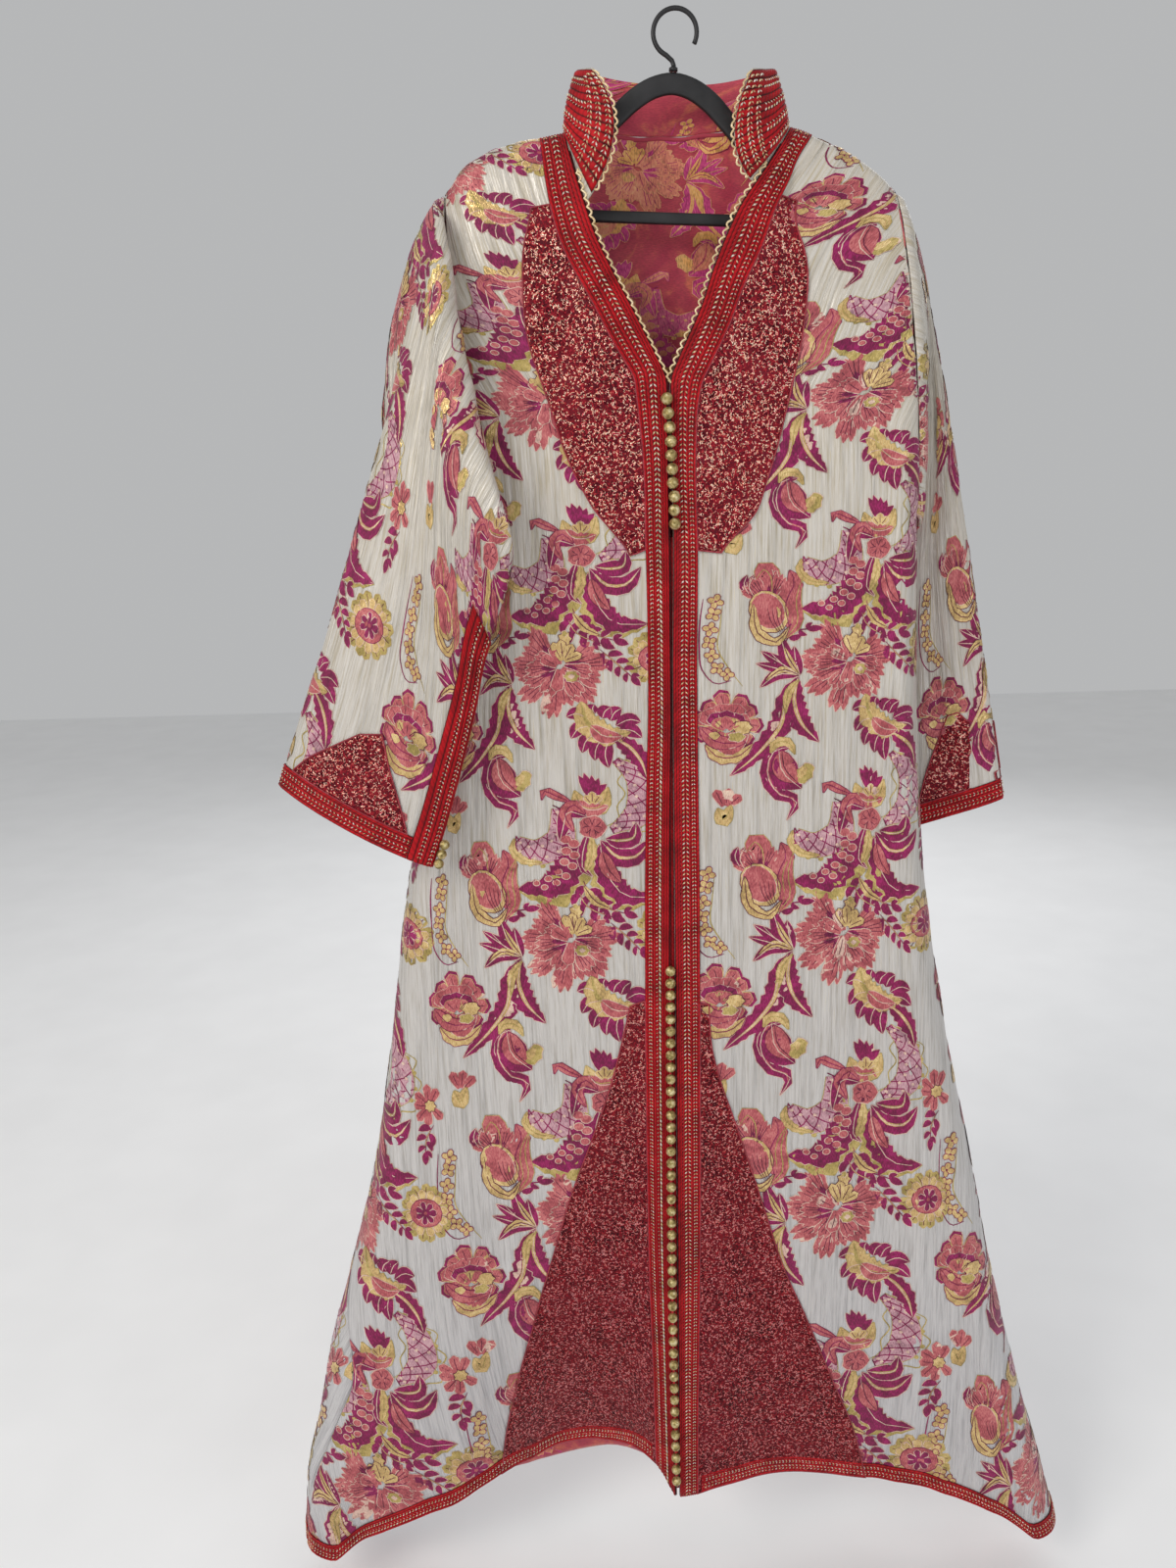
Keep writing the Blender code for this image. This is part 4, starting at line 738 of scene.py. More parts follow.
# Height, width of the left and of the right braid
BRAID_WIDTH = (
    (-100, 24, 22), (-122, 27, 21), (-150, 31, 27), (-203, 34.5, 36),
    (-245, 34, 32.5), (-292, 34.5, 33), (-322, 32, 31), (-343, 30, 27),
    (-390, 25.5, 23.5), (-499, 23, 24), (-879, 26, 26.5), (-1299, 25, 25.5),
    (-1505, 22, 22.5), (-1607, 22, 22),
)
# Height and place across of the glitter panels' outer edge: chest above, skirt below, a plain line between
PANEL_LEFT = (
    (-100, -119), (-168, -124), (-190, -130), (-229, -133), (-269, -130),
    (-327, -113), (-381, -97), (-429, -76), (-463, -54), (-487, -38), (-540, -38),
    (-700, -42), (-900, -42), (-960, -42), (-1016, -54), (-1084, -73),
    (-1140, -93), (-1223, -122), (-1294, -143), (-1411, -175), (-1464, -188),
    (-1548, -206), (-1610, -216),
)
PANEL_RIGHT = (
    (-100, 148), (-150, 126), (-176, 123), (-197, 131), (-256, 131), (-291, 125),
    (-357, 110), (-403, 97), (-440, 84), (-473, 58), (-492, 46), (-560, 44),
    (-700, 44), (-900, 41), (-975, 40), (-1018, 43), (-1060, 53), (-1100, 66),
    (-1201, 98), (-1303, 129), (-1376, 159), (-1463, 192), (-1516, 212),
    (-1610, 236),
)


def edge_x(side, z):
    """Neckline, V and front edge of one front."""
    x_v = follow(EDGE_LEFT if side < 0 else EDGE_RIGHT, z)
    x_c = centre_x(z) + side * CENTRE_GAP / 2
    return np.where(side * x_v > side * x_c, x_v, x_c)


def front_y(side, x, z):
    """Depth of a front at a point across and up."""
    x = np.asarray(x, float)
    z = np.asarray(z, float)
    fold = side_x(side, z)
    deep = hang(x, z, section("front", z))
    inward = np.abs(fold - x) / section("round_left" if side < 0 else "round_right", z)
    hole = armhole(side, True)
    lift = np.interp(-z, -hole[:, 2], -hole[:, 1], right=0.0) / np.maximum(deep, 1.0)
    lift = np.where(z > hole[-1, 2], np.clip(lift, 0, 1), 0.0)
    shape = lift + (1 - lift) * quarter(inward)
    y = -deep * shape
    place = (x - centre_x(z)) / (fold - centre_x(z))
    low = np.clip((FLARE_TOP - z) / FLARE_TALL, 0, 1.1) ** FLARE_POWER
    corner = HEM_LEFT_X if side < 0 else HEM_RIGHT_X
    hem_x = centre_x(FRONT_BOTTOM) + place * (corner - centre_x(FRONT_BOTTOM))
    hem_y, hem_z = hem_row(HEM_LEFT if side < 0 else HEM_RIGHT, hem_x)
    flat = -section("front", hem_z) * quarter(np.abs(corner - hem_x) / 40.0)
    soft = soft_step((inward - 1.0) / 0.9)
    y = y + low * (hem_y - flat) * soft
    return y + long_folds(FOLDS_LEFT if side < 0 else FOLDS_RIGHT, place, z) * soft


def front_grid(side):
    """Points of a front: rows from the shoulder to the hem, columns from the side seam to the edge."""
    down = ROW_SHARES
    arc, outer, panel = ARC_COLUMNS, OUTER_COLUMNS, PANEL_COLUMNS
    hem = HEM_LEFT if side < 0 else HEM_RIGHT
    corner = hem[0] if side < 0 else hem[-1]
    end = SHOULDERS[0] if side < 0 else SHOULDERS[-1]
    z_side = end[1] + (corner[2] - end[1]) * down
    z_edge = FRONT_TOP + (FRONT_BOTTOM - FRONT_TOP) * down
    x_side = side_x(side, z_side)
    x_edge = edge_x(side, z_edge)
    rounding = section("round_left" if side < 0 else "round_right", z_side)
    seam = np.radians(section("seam_deg", z_side)) if side < 0 else 0 * z_side
    seam = seam + SEAM_CLEAR / section("front", z_side)
    under = armhole(side, True)[-1, 2]
    seam = np.where(z_side > under, 0.0, seam)
    wide = follow(BRAID_WIDTH, z_edge, 1 if side < 0 else 2)
    x_line = follow(PANEL_LEFT if side < 0 else PANEL_RIGHT, z_edge)
    rows = []
    for k in range(len(down)):
        angle = seam[k] + (math.pi / 2 - seam[k]) * np.arange(arc + 1) / arc
        x_arc = x_side[k] - side * rounding[k] * (1 - np.cos(angle))
        band = x_edge[k] + side * wide[k]
        line = x_line[k]
        x_outer = x_arc[-1] + (line - x_arc[-1]) * np.arange(1, outer + 1) / outer
        x_panel = line + (band - line) * np.arange(1, panel + 1) / panel
        x_band = band + (x_edge[k] - band) * np.arange(1, BAND_COLUMNS + 1) / BAND_COLUMNS
        x = np.concatenate([x_arc, x_outer, x_panel, x_band])
        t = spread((x - x_side[k]) / (x_edge[k] - x_side[k]), arc, down[k])
        top = shoulder_z(end[0] + ((NECK_LEFT if side < 0 else NECK_RIGHT) - end[0]) * t)
        bottom = hem_row(hem, corner[0] * (1 - t))[1]
        z = top + (bottom - top) * down[k]
        rows.append(np.stack([x, front_y(side, x, z), z], axis=-1))
    grid = np.array(rows)
    grid[0, :, 1] = -SHOULDER_GAP
    return pull_in(grid, 0, side, z_side > under)


# Columns of the right front's panel line, band and edge; the left front has them from its other end
PANEL_AT, BAND_AT, EDGE_AT = 42.0, 57.0, 63.0
CREASES_RIGHT = (
    (70, 360, 900, 11, 1.6, 6), (112, 180, 1500, 14, -2.2, 26),
    (160, 330, 1560, 12, 1.7, 34), (196, 260, 1200, 13, -2, 30),
    (232, 480, 1600, 13, 2, 60), (300, 900, 1600, 15, -2.2, 60),
)
CREASES_LEFT = (
    (-64, 400, 1000, 11, 1.6, -4), (-120, 200, 1450, 14, -2.2, -22),
    (-166, 420, 1560, 13, 1.9, -36), (-205, 700, 1600, 14, -2.4, -60),
    (-262, 900, 1600, 13, 2, -70),
)
left_points = front_grid(-1)[:, ::-1]
right_points = front_grid(1)
right_u = across_length(right_points)
left_wall = Wall(left_points, -across_length(left_points), -left_points[:, :, 2], CREASES_LEFT, 1.9)
right_wall = Wall(right_points, right_u[:, -1:] - right_u, -right_points[:, :, 2], CREASES_RIGHT, 3.1)
for name, wall, node in (("front_panel_left", left_wall, "front_left"),
                         ("front_panel_right", right_wall, "front_right")):
    piece = panel_piece(name, wall)
    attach(piece, "root")
    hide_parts(node)


# ---- Sleeves: straight wide tubes of the same brocade set into the armholes; the left one hangs in front
# of the body and the right one behind it, each flattened by its own weight
# Rings from the armhole to the cuff: their outer, front, inner and back points
SLEEVE_LEFT = (
    (-203, 0, -151, -200, -32, -300, -187, 0, -455, -202, 32, -300),
    (-207.5, 0, -152, -205, -33, -301, -191.5, -1, -457, -207, 32, -301),
    (-212, -3, -155, -210, -44, -306, -197, -14, -466, -216, 31, -305),
    (-214, -9, -158, -204, -56, -313, -195, -40, -474, -226, 28, -311),
    (-214.5, -16, -162, -193, -65, -318, -182, -60, -474, -236, 24, -320),
    (-215, -24, -167, -183, -73, -322, -165, -72, -468, -246, 16, -330),
    (-217, -32, -178, -187, -83, -334, -156, -80, -475, -258, 4, -345),
    (-222, -39, -202, -201, -90, -362, -160, -82, -510, -266, -14, -375),
    (-237, -45, -262, -214, -92, -410, -173, -82, -548, -262, -38, -418),
    (-264, -48, -345, -228, -92, -464, -185, -82, -585, -240, -56, -466),
    (-292, -50, -425, -244, -90, -522, -194, -82, -625, -252, -56, -524),
    (-319, -51, -500, -263, -90, -583, -206, -82, -668, -268, -56, -585),
    (-346, -52, -574, -283, -91, -642, -219, -82, -710, -288, -55, -644),
    (-375, -53, -646, -304, -92, -698, -232, -82, -751, -309, -54, -700),
    (-397, -54, -707, -322, -93, -747, -246, -82, -788, -327, -53, -749),
)
SLEEVE_RIGHT = (
    (221, 0, -160, 239, -29, -305, 251, 0, -455, 239, 29, -305),
    (225.5, 0, -161, 244, -28, -306, 255.5, 0, -456.5, 244, 30, -306),
    (231, 5, -165, 252, -20, -312, 263, 18, -468, 251, 42, -312),
    (236, 13, -173, 257, -2, -322, 258, 52, -480, 254, 60, -322),
    (243, 21, -187, 261, 14, -336, 240, 68, -492, 257, 74, -340),
    (254, 29, -212, 262, 28, -362, 221, 75, -512, 260, 84, -370),
    (268, 34, -258, 262, 40, -402, 207, 79, -543, 258, 88, -408),
    (287, 38, -330, 262, 46, -456, 200, 82, -585, 256, 90, -460),
    (304, 41, -405, 262, 50, -518, 201, 84, -632, 256, 90, -520),
    (320, 43, -480, 264, 52, -580, 205, 84, -682, 262, 90, -582),
    (335, 45, -555, 272, 52, -640, 209, 84, -728, 270, 90, -642),
    (350, 46, -630, 282, 52, -698, 213, 84, -768, 280, 90, -700),
    (364, 47, -702, 290, 52, -750, 216, 84, -799, 288, 90, -752),
    (377, 47, -768, 298, 52, -796, 219, 84, -826, 296, 90, -798),
)
SLEEVE_SET = {-1: 1.8, 1: 1.3}
SLEEVE_AROUND = 92
SLEEVE_DOWN = 150


def tube_grid(rings, side):
    """Rings of a sleeve on a cubic through the table's rings, opened at the underarm seam."""
    table = np.array(rings, float)
    table[0, [0, 3, 6, 9]] += side * SLEEVE_SET[side]
    key = np.concatenate([[0.0], np.cumsum(np.abs(np.diff(table, axis=0)).mean(axis=1) + 1.0)])
    table = cubic(key, table, np.linspace(0.0, key[-1], SLEEVE_DOWN + 1))
    angle = np.linspace(-math.pi, math.pi, SLEEVE_AROUND + 1)
    return np.array([ring(row, angle) for row in table])


def along_sleeve(grid):
    """Distance of each point of a sleeve above the cuff along its own column, as a negative number."""
    step = np.linalg.norm(np.diff(grid, axis=0), axis=-1)
    down = np.concatenate([np.zeros((1, grid.shape[1])), np.cumsum(step, axis=0)])
    return down - down[-1:]


CREASES_SLEEVE = (
    (-150, -560, -120, 14, 2, 20), (-60, -520, -40, 12, -2, -20),
    (30, -480, -60, 13, 1.9, 26), (110, -540, -30, 14, -2.2, -12),
    (180, -500, -50, 12, 1.8, 14),
)
arm_l_points = tube_grid(SLEEVE_LEFT, -1)
arm_r_points = tube_grid(SLEEVE_RIGHT, 1)
arm_l_u = across_length(arm_l_points)
arm_r_u = across_length(arm_r_points)
mid = SLEEVE_AROUND // 2
arm_l_wall = Wall(arm_l_points[:, ::-1], (arm_l_u - arm_l_u[:, [mid]])[:, ::-1],
                  along_sleeve(arm_l_points)[:, ::-1], CREASES_SLEEVE, 0.3)
arm_r_wall = Wall(arm_r_points, arm_r_u[:, [mid]] - arm_r_u, along_sleeve(arm_r_points), CREASES_SLEEVE, 2.2)
for name, wall, node in (("sleeve_cloth_left", arm_l_wall, "sleeve_left"),
                         ("sleeve_cloth_right", arm_r_wall, "sleeve_right")):
    piece = panel_piece(name, wall, True)
    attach(piece, "root")
    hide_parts(node)


# ---- Brocade flowers: extra wefts of plum, coral, gold and cream thread float over the face in a repeat
# of peonies, plumes, latticed horns and tulips; each float is a thin raised shape woven into the ground
TILE_WIDE = 300.0
TILE_TALL = 327.0
PEONY_AT = (186.3, 88.0)
FLOAT_BASE = 0.28
FLOAT_STEP = 0.15
PLUM, CORAL, GOLD, CREAM, DARK, OLIVE, LILAC = range(7)
LEAF_FULLNESS = 1.3
PETAL_FULLNESS = 1.22
EDGE_LINE = 0.9


class Weft:
    """Collects strips of the repeat as flat points (mm), their layer and colour."""

    def __init__(self):
        self.points = []
        self.layers = []
        self.faces = []
        self.colours = []
        self.count = 0

    def strip(self, spine, left, right, colour, layer, rows=1):
        """Band along a spine with its own half width on either side."""
        way = unit(np.gradient(spine, axis=0))
        side = np.stack([-way[:, 1], way[:, 0]], -1)
        n = len(spine)
        rows = max(rows, int(np.ceil((np.max(left) + np.max(right)) / 14.0)))
        t = np.linspace(0.0, 1.0, rows + 1)[None, :, None]
        a = (spine - side * left[:, None])[:, None]
        b = (spine + side * right[:, None])[:, None]
        grid = a * (1 - t) + b * t
        self.points.append(grid.reshape(-1, 2))
        self.layers.append(np.full(n * (rows + 1), float(layer)))
        self.faces.append(quads(n, rows + 1) + self.count)
        self.colours.append(np.full((n - 1) * rows, colour))
        self.count += n * (rows + 1)

    def line(self, points, wide, colour, layer, n=None):
        """Fine line along a curve, thinner at both ends."""
        spine = curve(points, n or max(4, 2 * len(points)))
        t = np.linspace(0, 1, len(spine))
        half = wide / 2 * (0.35 + 0.65 * np.sin(math.pi * t) ** 0.6)
        self.strip(spine, half, half, colour, layer)

    def leaf(self, points, wide, colour, layer, teeth=0, edge=CREAM, rib=None, veins=True):
        """Pointed or toothed leaf on a curve: width is a skewed half wave, cut into forward teeth; an edge
        line shows under it and a rib of a second colour on it."""
        wide = wide * LEAF_FULLNESS
        n = (9 if wide > 11 else 6) if teeth == 0 else 3 * teeth + 1
        spine = curve(points, n)
        t = np.linspace(0, 1, n)
        body = np.sin(math.pi * t ** 0.9) ** 0.75
        saw = 1.0 if teeth == 0 else 0.62 + 0.38 * (1 - (t * teeth) % 1.0)
        half = wide / 2 * body * saw + 0.15
        if edge is not None:
            self.strip(spine, half + EDGE_LINE, half + EDGE_LINE, edge, layer - 1)
        self.strip(spine, half, half, colour, layer)
        if rib is not None:
            inner = wide * 0.085 * np.sin(math.pi * t ** 0.8) + 0.1
            self.strip(spine[1:-1], inner[1:-1], inner[1:-1] * 0.8, rib, layer + 1)
        if veins:
            self.line(points, 1.1, edge if edge is not None else DARK, layer + 2)

    def petals(self, middle, inner, outer, angles, wide, colour, layer, edge=CREAM, vein=DARK, lobed=None):
        """Ring of rounded petals: each is a strip outward from the middle, broad near its end and three-lobed
        where it is wide, with an edge line under it, fine veins and a deeper base."""
        middle = np.array(middle, float)
        wide = wide * PETAL_FULLNESS
        lobed = wide > 17 if lobed is None else lobed
        for k, degrees in enumerate(np.atleast_1d(angles)):
            reach = (outer if np.isscalar(outer) else outer[k])
            turn = math.radians(degrees)
            out = np.array([math.cos(turn), math.sin(turn)])
            side = np.array([-out[1], out[0]])
            bend = 0.10 * reach * math.sin(2.3 * k + 1.0)
            t = np.linspace(0, 1, 7)
            spine = middle + np.outer(inner + (reach - inner) * t, out) + np.outer(bend * t * t, side)
            half = wide / 2 * (0.3 + 0.7 * t) * (1 - t ** 5.2) ** 0.5 + 0.1
            parts = [(spine, half)]
            if lobed:
                parts = [(spine[:6], wide / 2 * (0.3 + 0.66 * t[:6]))]
                for lobe in (-1, 0, 1):
                    tip = spine[3:] + side * lobe * wide * 0.3 * t[3:, None]
                    tip = tip + np.outer(0.07 * reach * (t[3:] - 0.5) - 0.06 * abs(lobe) * reach * t[3:], out)
                    parts.append((tip, wide * 0.2 * np.array([0.6, 1.0, 0.85, 0.1])))
            for line, broad in parts:
                self.strip(line, broad + EDGE_LINE, broad + EDGE_LINE, edge, layer - 0.4)
            for line, broad in parts:
                self.strip(line, broad, broad, colour, layer)
            if vein is not None:
                fine = np.full(3, 0.42)
                for shift in ((-0.24, 0.0, 0.24) if lobed else (0.0,)):
                    self.strip(spine[1:6:2] + side * shift * wide * t[1:6:2, None], fine, fine, vein, layer + 0.5)
                if lobed:
                    deep = wide * 0.2 * np.array([0.4, 1.0, 0.8, 0.1])
                    self.strip(spine[:4], deep, deep, PLUM, layer + 0.3)

    def blob(self, middle, wide, tall, colour, layer, lobes=0, deep=0.12, turn=0.0, n=14, edge=None):
        """Round or scalloped patch: radius of an ellipse times a wave, in two rings from the middle."""
        a = np.linspace(0, 2 * math.pi, n + 1)[:-1]
        wave = 1.0 + (deep * np.abs(np.cos(a * lobes / 2.0)) - deep if lobes else 0.0)
        for grow, tint, lay in ((EDGE_LINE, edge, layer - 1), (0.0, colour, layer)):
            if tint is None:
                continue
            x = (wide / 2 * wave + grow) * np.cos(a)
            y = (tall / 2 * wave + grow) * np.sin(a)
            rim = np.stack([x * math.cos(turn) - y * math.sin(turn), x * math.sin(turn) + y * math.cos(turn)], -1)
            shares = (0.02, 0.5, 1.0) if wide > 24 else (0.02, 1.0)
            rings = np.concatenate([rim * share for share in shares]) + np.array(middle, float)
            self.points.append(rings)
            self.layers.append(np.full(len(rings), float(lay)))
            self.faces.append(quads(len(shares), n, False, True) + self.count)
            self.colours.append(np.full((len(shares) - 1) * n, tint))
            self.count += len(rings)


def curve(points, n):
    """Smooth curve through points: cubic over their running length."""
    points = np.array(points, float)
    key = running(points)
    return cubic(key, points, np.linspace(0.0, key[-1], n))


def at(*pairs):
    """Points of the repeat in mm from places on its drawing sheet."""
    return [(0.27 * x, 0.293 * y) for x, y in pairs]


def horn(weft, inner, outer):
    """Latticed horn between two curves: lilac ground, crossing plum lines, gold seeds in the gaps and a
    scalloped gold edge."""
    n = 17
    a = curve(inner, n)
    b = curve(outer, n)
    mid = (a + b) / 2
    half = np.linalg.norm(b - a, axis=1) / 2
    weft.strip(mid, half + EDGE_LINE, half + EDGE_LINE, OLIVE, 0, 2)
    weft.strip(mid, half, half, LILAC, 1, 2)
    cells = 7
    for k in range(-1, cells + 1):
        for slope in (-1, 1):
            t = np.linspace(0, 1, 4)
            s = np.clip((k + (t if slope > 0 else 1 - t) * 1.6) / cells, 0, 1) * (n - 1)
            i = np.clip(s.astype(int), 0, n - 2)
            f = (s - i)[:, None]
            low = a[i] * (1 - f) + a[i + 1] * f
            top = b[i] * (1 - f) + b[i + 1] * f
            spine = low * (1 - t[:, None]) + top * t[:, None]
            if np.linalg.norm(spine[-1] - spine[0]) > 3.0:
                weft.strip(spine, np.full(4, 0.65), np.full(4, 0.65), PLUM, 2)
    for k in range(cells):
        for t in (0.3, 0.75):
            s = int(min((k + 0.55 + 0.4 * t) / cells, 0.97) * (n - 1))
            spot = a[s] * (1 - t) + b[s] * t
            if half[s] > 4.0:
                weft.blob(spot, 4.6, 4.0, CREAM, 3, n=5)
    scallop = b + (b - a) / np.maximum(2 * half, 1e-6)[:, None] * 2.2
    for k in range(1, n - 1, 2):
        weft.blob(scallop[k], 6.2, 5.4, OLIVE, 0, n=8)


def clover(weft, middle, size, spin):
    """Four-lobed clover with a plum line round it."""
    for turn in range(4):
        a = spin + turn * math.pi / 2
        spot = (middle[0] + 0.3 * size * math.cos(a), middle[1] + 0.3 * size * math.sin(a))
        weft.blob(spot, 0.5 * size, 0.4 * size, GOLD, 2 + turn, turn=a, n=7, edge=PLUM)


def spray(weft, stem, leaves, wide):
    """Stem with leaflets on alternate sides, shorter towards its tip."""
    path = curve(stem, 2 * leaves + 2)
    weft.line(stem, 1.8, PLUM, 2)
    way = unit(np.gradient(path, axis=0))
    for k in range(1, 2 * leaves + 1):
        side = np.array([-way[k][1], way[k][0]]) * (1 if k % 2 else -1)
        long = wide * (1.15 - 0.5 * k / (2 * leaves))
        tip = path[k] + way[k] * long * 0.75 + side * long * 0.85
        bow = path[k] + way[k] * long * 0.2 + side * long * 0.5
        weft.leaf([path[k], bow, tip], long * 0.42, PLUM, 2, veins=False)
    weft.leaf([path[-2], path[-1], path[-1] + way[-1] * wide * 0.7], wide * 0.45, PLUM, 2, veins=False)
    weft.line(path[1:-1:2], 0.9, GOLD, 3)


def draw_repeat():
    """The whole repeat, from its largest flower to its smallest leaf."""
    weft = Weft()
    leaf, petals, blob, line = weft.leaf, weft.petals, weft.blob, weft.line
    # Peony
    middle = at((690, 305))[0]
    petals(middle, 8, (57, 46, 53, 50), (-126, -146, 188, 166), 20, CORAL, 1)
    petals(middle, 8, (58, 62, 47, 54), (134, 104, 80, 46), 22, CORAL, 1)
    petals(middle, 8, (46, 53, 44), (20, -6, -28), 21, CORAL, 2)
    petals(middle, 6, (43, 38, 40), (150, 118, 64), 18, CORAL, 3)
    petals(middle, 5, (34, 38, 30), (8, 176, -150), 17, CORAL, 4)
    petals(middle, 3, (30, 26, 28, 24), (96, 40, -100, 208), 15, CORAL, 5, lobed=False)
    petals((middle[0] + 4, middle[1] - 6), 2, (26, 24, 27, 22), (-118, -62, -90, -30), 11, GOLD, 6, edge=DARK)
    blob(at((716, 190))[0], 15, 20, GOLD, 5, 7, 0.3, edge=DARK)
    blob(at((716, 168))[0], 6, 7, OLIVE, 6, 5, 0.3, edge=CREAM)
    blob(at((735, 345))[0], 17, 14, OLIVE, 6, 6, 0.3, edge=CREAM)
    blob(at((735, 345))[0], 7, 6, CREAM, 7, 4, 0.3, edge=GOLD)
    # Half flower like a gold crescent with plume petals
    for root, tip, bow in (
            ((790, 520), (706, 512), (744, 498)), ((800, 550), (722, 600), (752, 560)),
            ((820, 580), (764, 660), (780, 612)), ((846, 600), (815, 692), (820, 646)),
            ((872, 606), (868, 722), (856, 664)), ((850, 520), (884, 474), (862, 490)),
            ((880, 530), (926, 480), (900, 494)), ((900, 550), (1004, 540), (956, 528)),
            ((910, 566), (1008, 604), (966, 574)), ((820, 500), (820, 462), (812, 480))):
        leaf(at(root, bow, tip), 12.5, PLUM, 2)
    leaf(at((766, 450), (790, 540), (870, 590), (960, 580)), 24, GOLD, 3, teeth=6, edge=OLIVE, rib=OLIVE)
    leaf(at((800, 548), (850, 590), (925, 596)), 13, CORAL, 5)
    leaf(at((890, 600), (950, 640), (1000, 700), (1024, 776)), 19, PLUM, 3, teeth=7, rib=GOLD)
    # Plume spray with its curved stem leaves
    for tip, bow, wide in (((404, 196), (430, 280), 12), ((330, 262), (390, 300), 10), ((312, 312), (380, 330), 9),
                           ((462, 246), (470, 300), 10), ((332, 412), (400, 360), 10), ((470, 330), (480, 345), 7),
                           ((370, 270), (420, 320), 8)):
        leaf(at((492, 366), bow, tip), wide, PLUM, 2)
    leaf(at((488, 366), (420, 340), (352, 384)), 6, GOLD, 4, teeth=4, edge=DARK)
    leaf(at((488, 362), (440, 290), (420, 244)), 5, GOLD, 4, edge=None)
    leaf(at((488, 372), (440, 450), (420, 560), (350, 660), (222, 772)), 21, PLUM, 2, teeth=9, rib=GOLD)
    leaf(at((484, 378), (470, 470), (500, 560), (574, 642)), 21, PLUM, 3, teeth=8, rib=GOLD)
    leaf(at((488, 384), (450, 430), (436, 520)), 6, GOLD, 5, edge=OLIVE)
    # Round rose
    rose = at((206, 552))[0]
    petals(rose, 14, (39, 37, 41, 38, 36, 40, 38, 35, 37, 39), np.arange(-172, 188, 36),
           20, PLUM, 1, vein=None, lobed=False)
    petals(rose, 12, (35, 33, 37, 34, 32, 36, 34, 31, 33, 35), np.arange(-172, 188, 36),
           17, CORAL, 3, edge=GOLD, lobed=False)
    petals((rose[0] - 2, rose[1] + 4), 5, (31, 28, 30, 27), (-150, -104, -58, -16), 22, CORAL, 5, lobed=False)
    petals((rose[0] - 2, rose[1] + 7), 4, (24, 22, 24), (-136, -86, -36), 18, PLUM, 7, lobed=False)
    petals((rose[0] - 1, rose[1] + 9), 2, (19, 17, 18), (-140, -92, -44), 14, CORAL, 9, edge=GOLD, lobed=False)
    leaf([(rose[0] - 30, rose[1] + 4), (rose[0] - 12, rose[1] + 22),
         (rose[0] + 20, rose[1] + 24)], 12, CORAL, 9, edge=PLUM)
    blob((rose[0] + 16, rose[1] + 6), 22, 17, GOLD, 10, 6, 0.28, edge=DARK)
    blob((rose[0] + 10, rose[1] + 17), 19, 12, OLIVE, 11, 5, 0.3, edge=CREAM)
    blob((rose[0] - 14, rose[1] + 15), 13, 10, GOLD, 10, 5, 0.2, edge=PLUM)
    leaf(at((120, 640), (170, 690), (250, 690), (310, 640)), 12, GOLD, 5, teeth=5, edge=PLUM)
    leaf(at((150, 620), (220, 660), (290, 600)), 11, CORAL, 6)
    # Tulip bud with a curled tail
    leaf(at((470, 660), (400, 670), (370, 760), (420, 850), (490, 880), (452, 958)), 13, PLUM, 2, rib=CORAL)
    leaf(at((412, 662), (430, 760), (510, 830)), 28, PLUM, 3)
    leaf(at((424, 672), (440, 750), (494, 806)), 19, CORAL, 4, edge=DARK)
    blob(at((520, 768))[0], 19, 28, OLIVE, 4, 8, 0.28, turn=0.5, edge=CREAM)
    blob(at((510, 764))[0], 9, 17, GOLD, 5, 6, 0.28, turn=0.5)
    leaf(at((380, 680), (400, 640), (450, 640), (480, 690)), 8, GOLD, 5, edge=OLIVE)
    line(at((414, 660), (400, 600), (430, 560)), 2.4, PLUM, 1)
    # Small gold tulip with plum spikes
    for tip in ((746, 752), (768, 742), (800, 752), (828, 764), (858, 788)):
        leaf(at((800, 850), ((tip[0] + 800) / 2, (tip[1] + 850) / 2 - 6), tip), 7.5, PLUM, 1, veins=False)
    leaf(at((728, 812), (760, 880), (830, 880), (864, 800)), 15, GOLD, 2, edge=OLIVE)
    leaf(at((736, 850), (770, 888), (812, 892), (862, 876)), 13, CORAL, 3)
    petals(at((800, 872))[0], 2, (14, 16, 14), (-130, -90, -50), 8, GOLD, 4)
    # Latticed horns
    horn(weft, at((884, 700), (932, 770), (936, 870), (866, 962)), at((906, 684), (1040, 780), (1050, 920),
         (880, 990)))
    horn(weft, at((486, 990), (560, 1012), (630, 970), (640, 872)), at((478, 1056), (560, 1110), (690, 1070),
         (700, 900)))
    line(at((1000, 740), (1080, 780), (1060, 830), (1100, 870), (1062, 930), (1062, 980), (990, 990),
         (950, 1030), (900, 1006)), 1.7, OLIVE, 0, 30)
    line(at((890, 700), (930, 730), (900, 780), (930, 830), (896, 880), (900, 930), (850, 960)),
         1.5, OLIVE, 0, 26)
    leaf(at((596, 850), (604, 816), (660, 836), (716, 860)), 7, CORAL, 3, edge=PLUM)
    leaf(at((480, 1000), (470, 1040), (510, 1090), (590, 1104)), 7, GOLD, 3, teeth=5, edge=OLIVE)
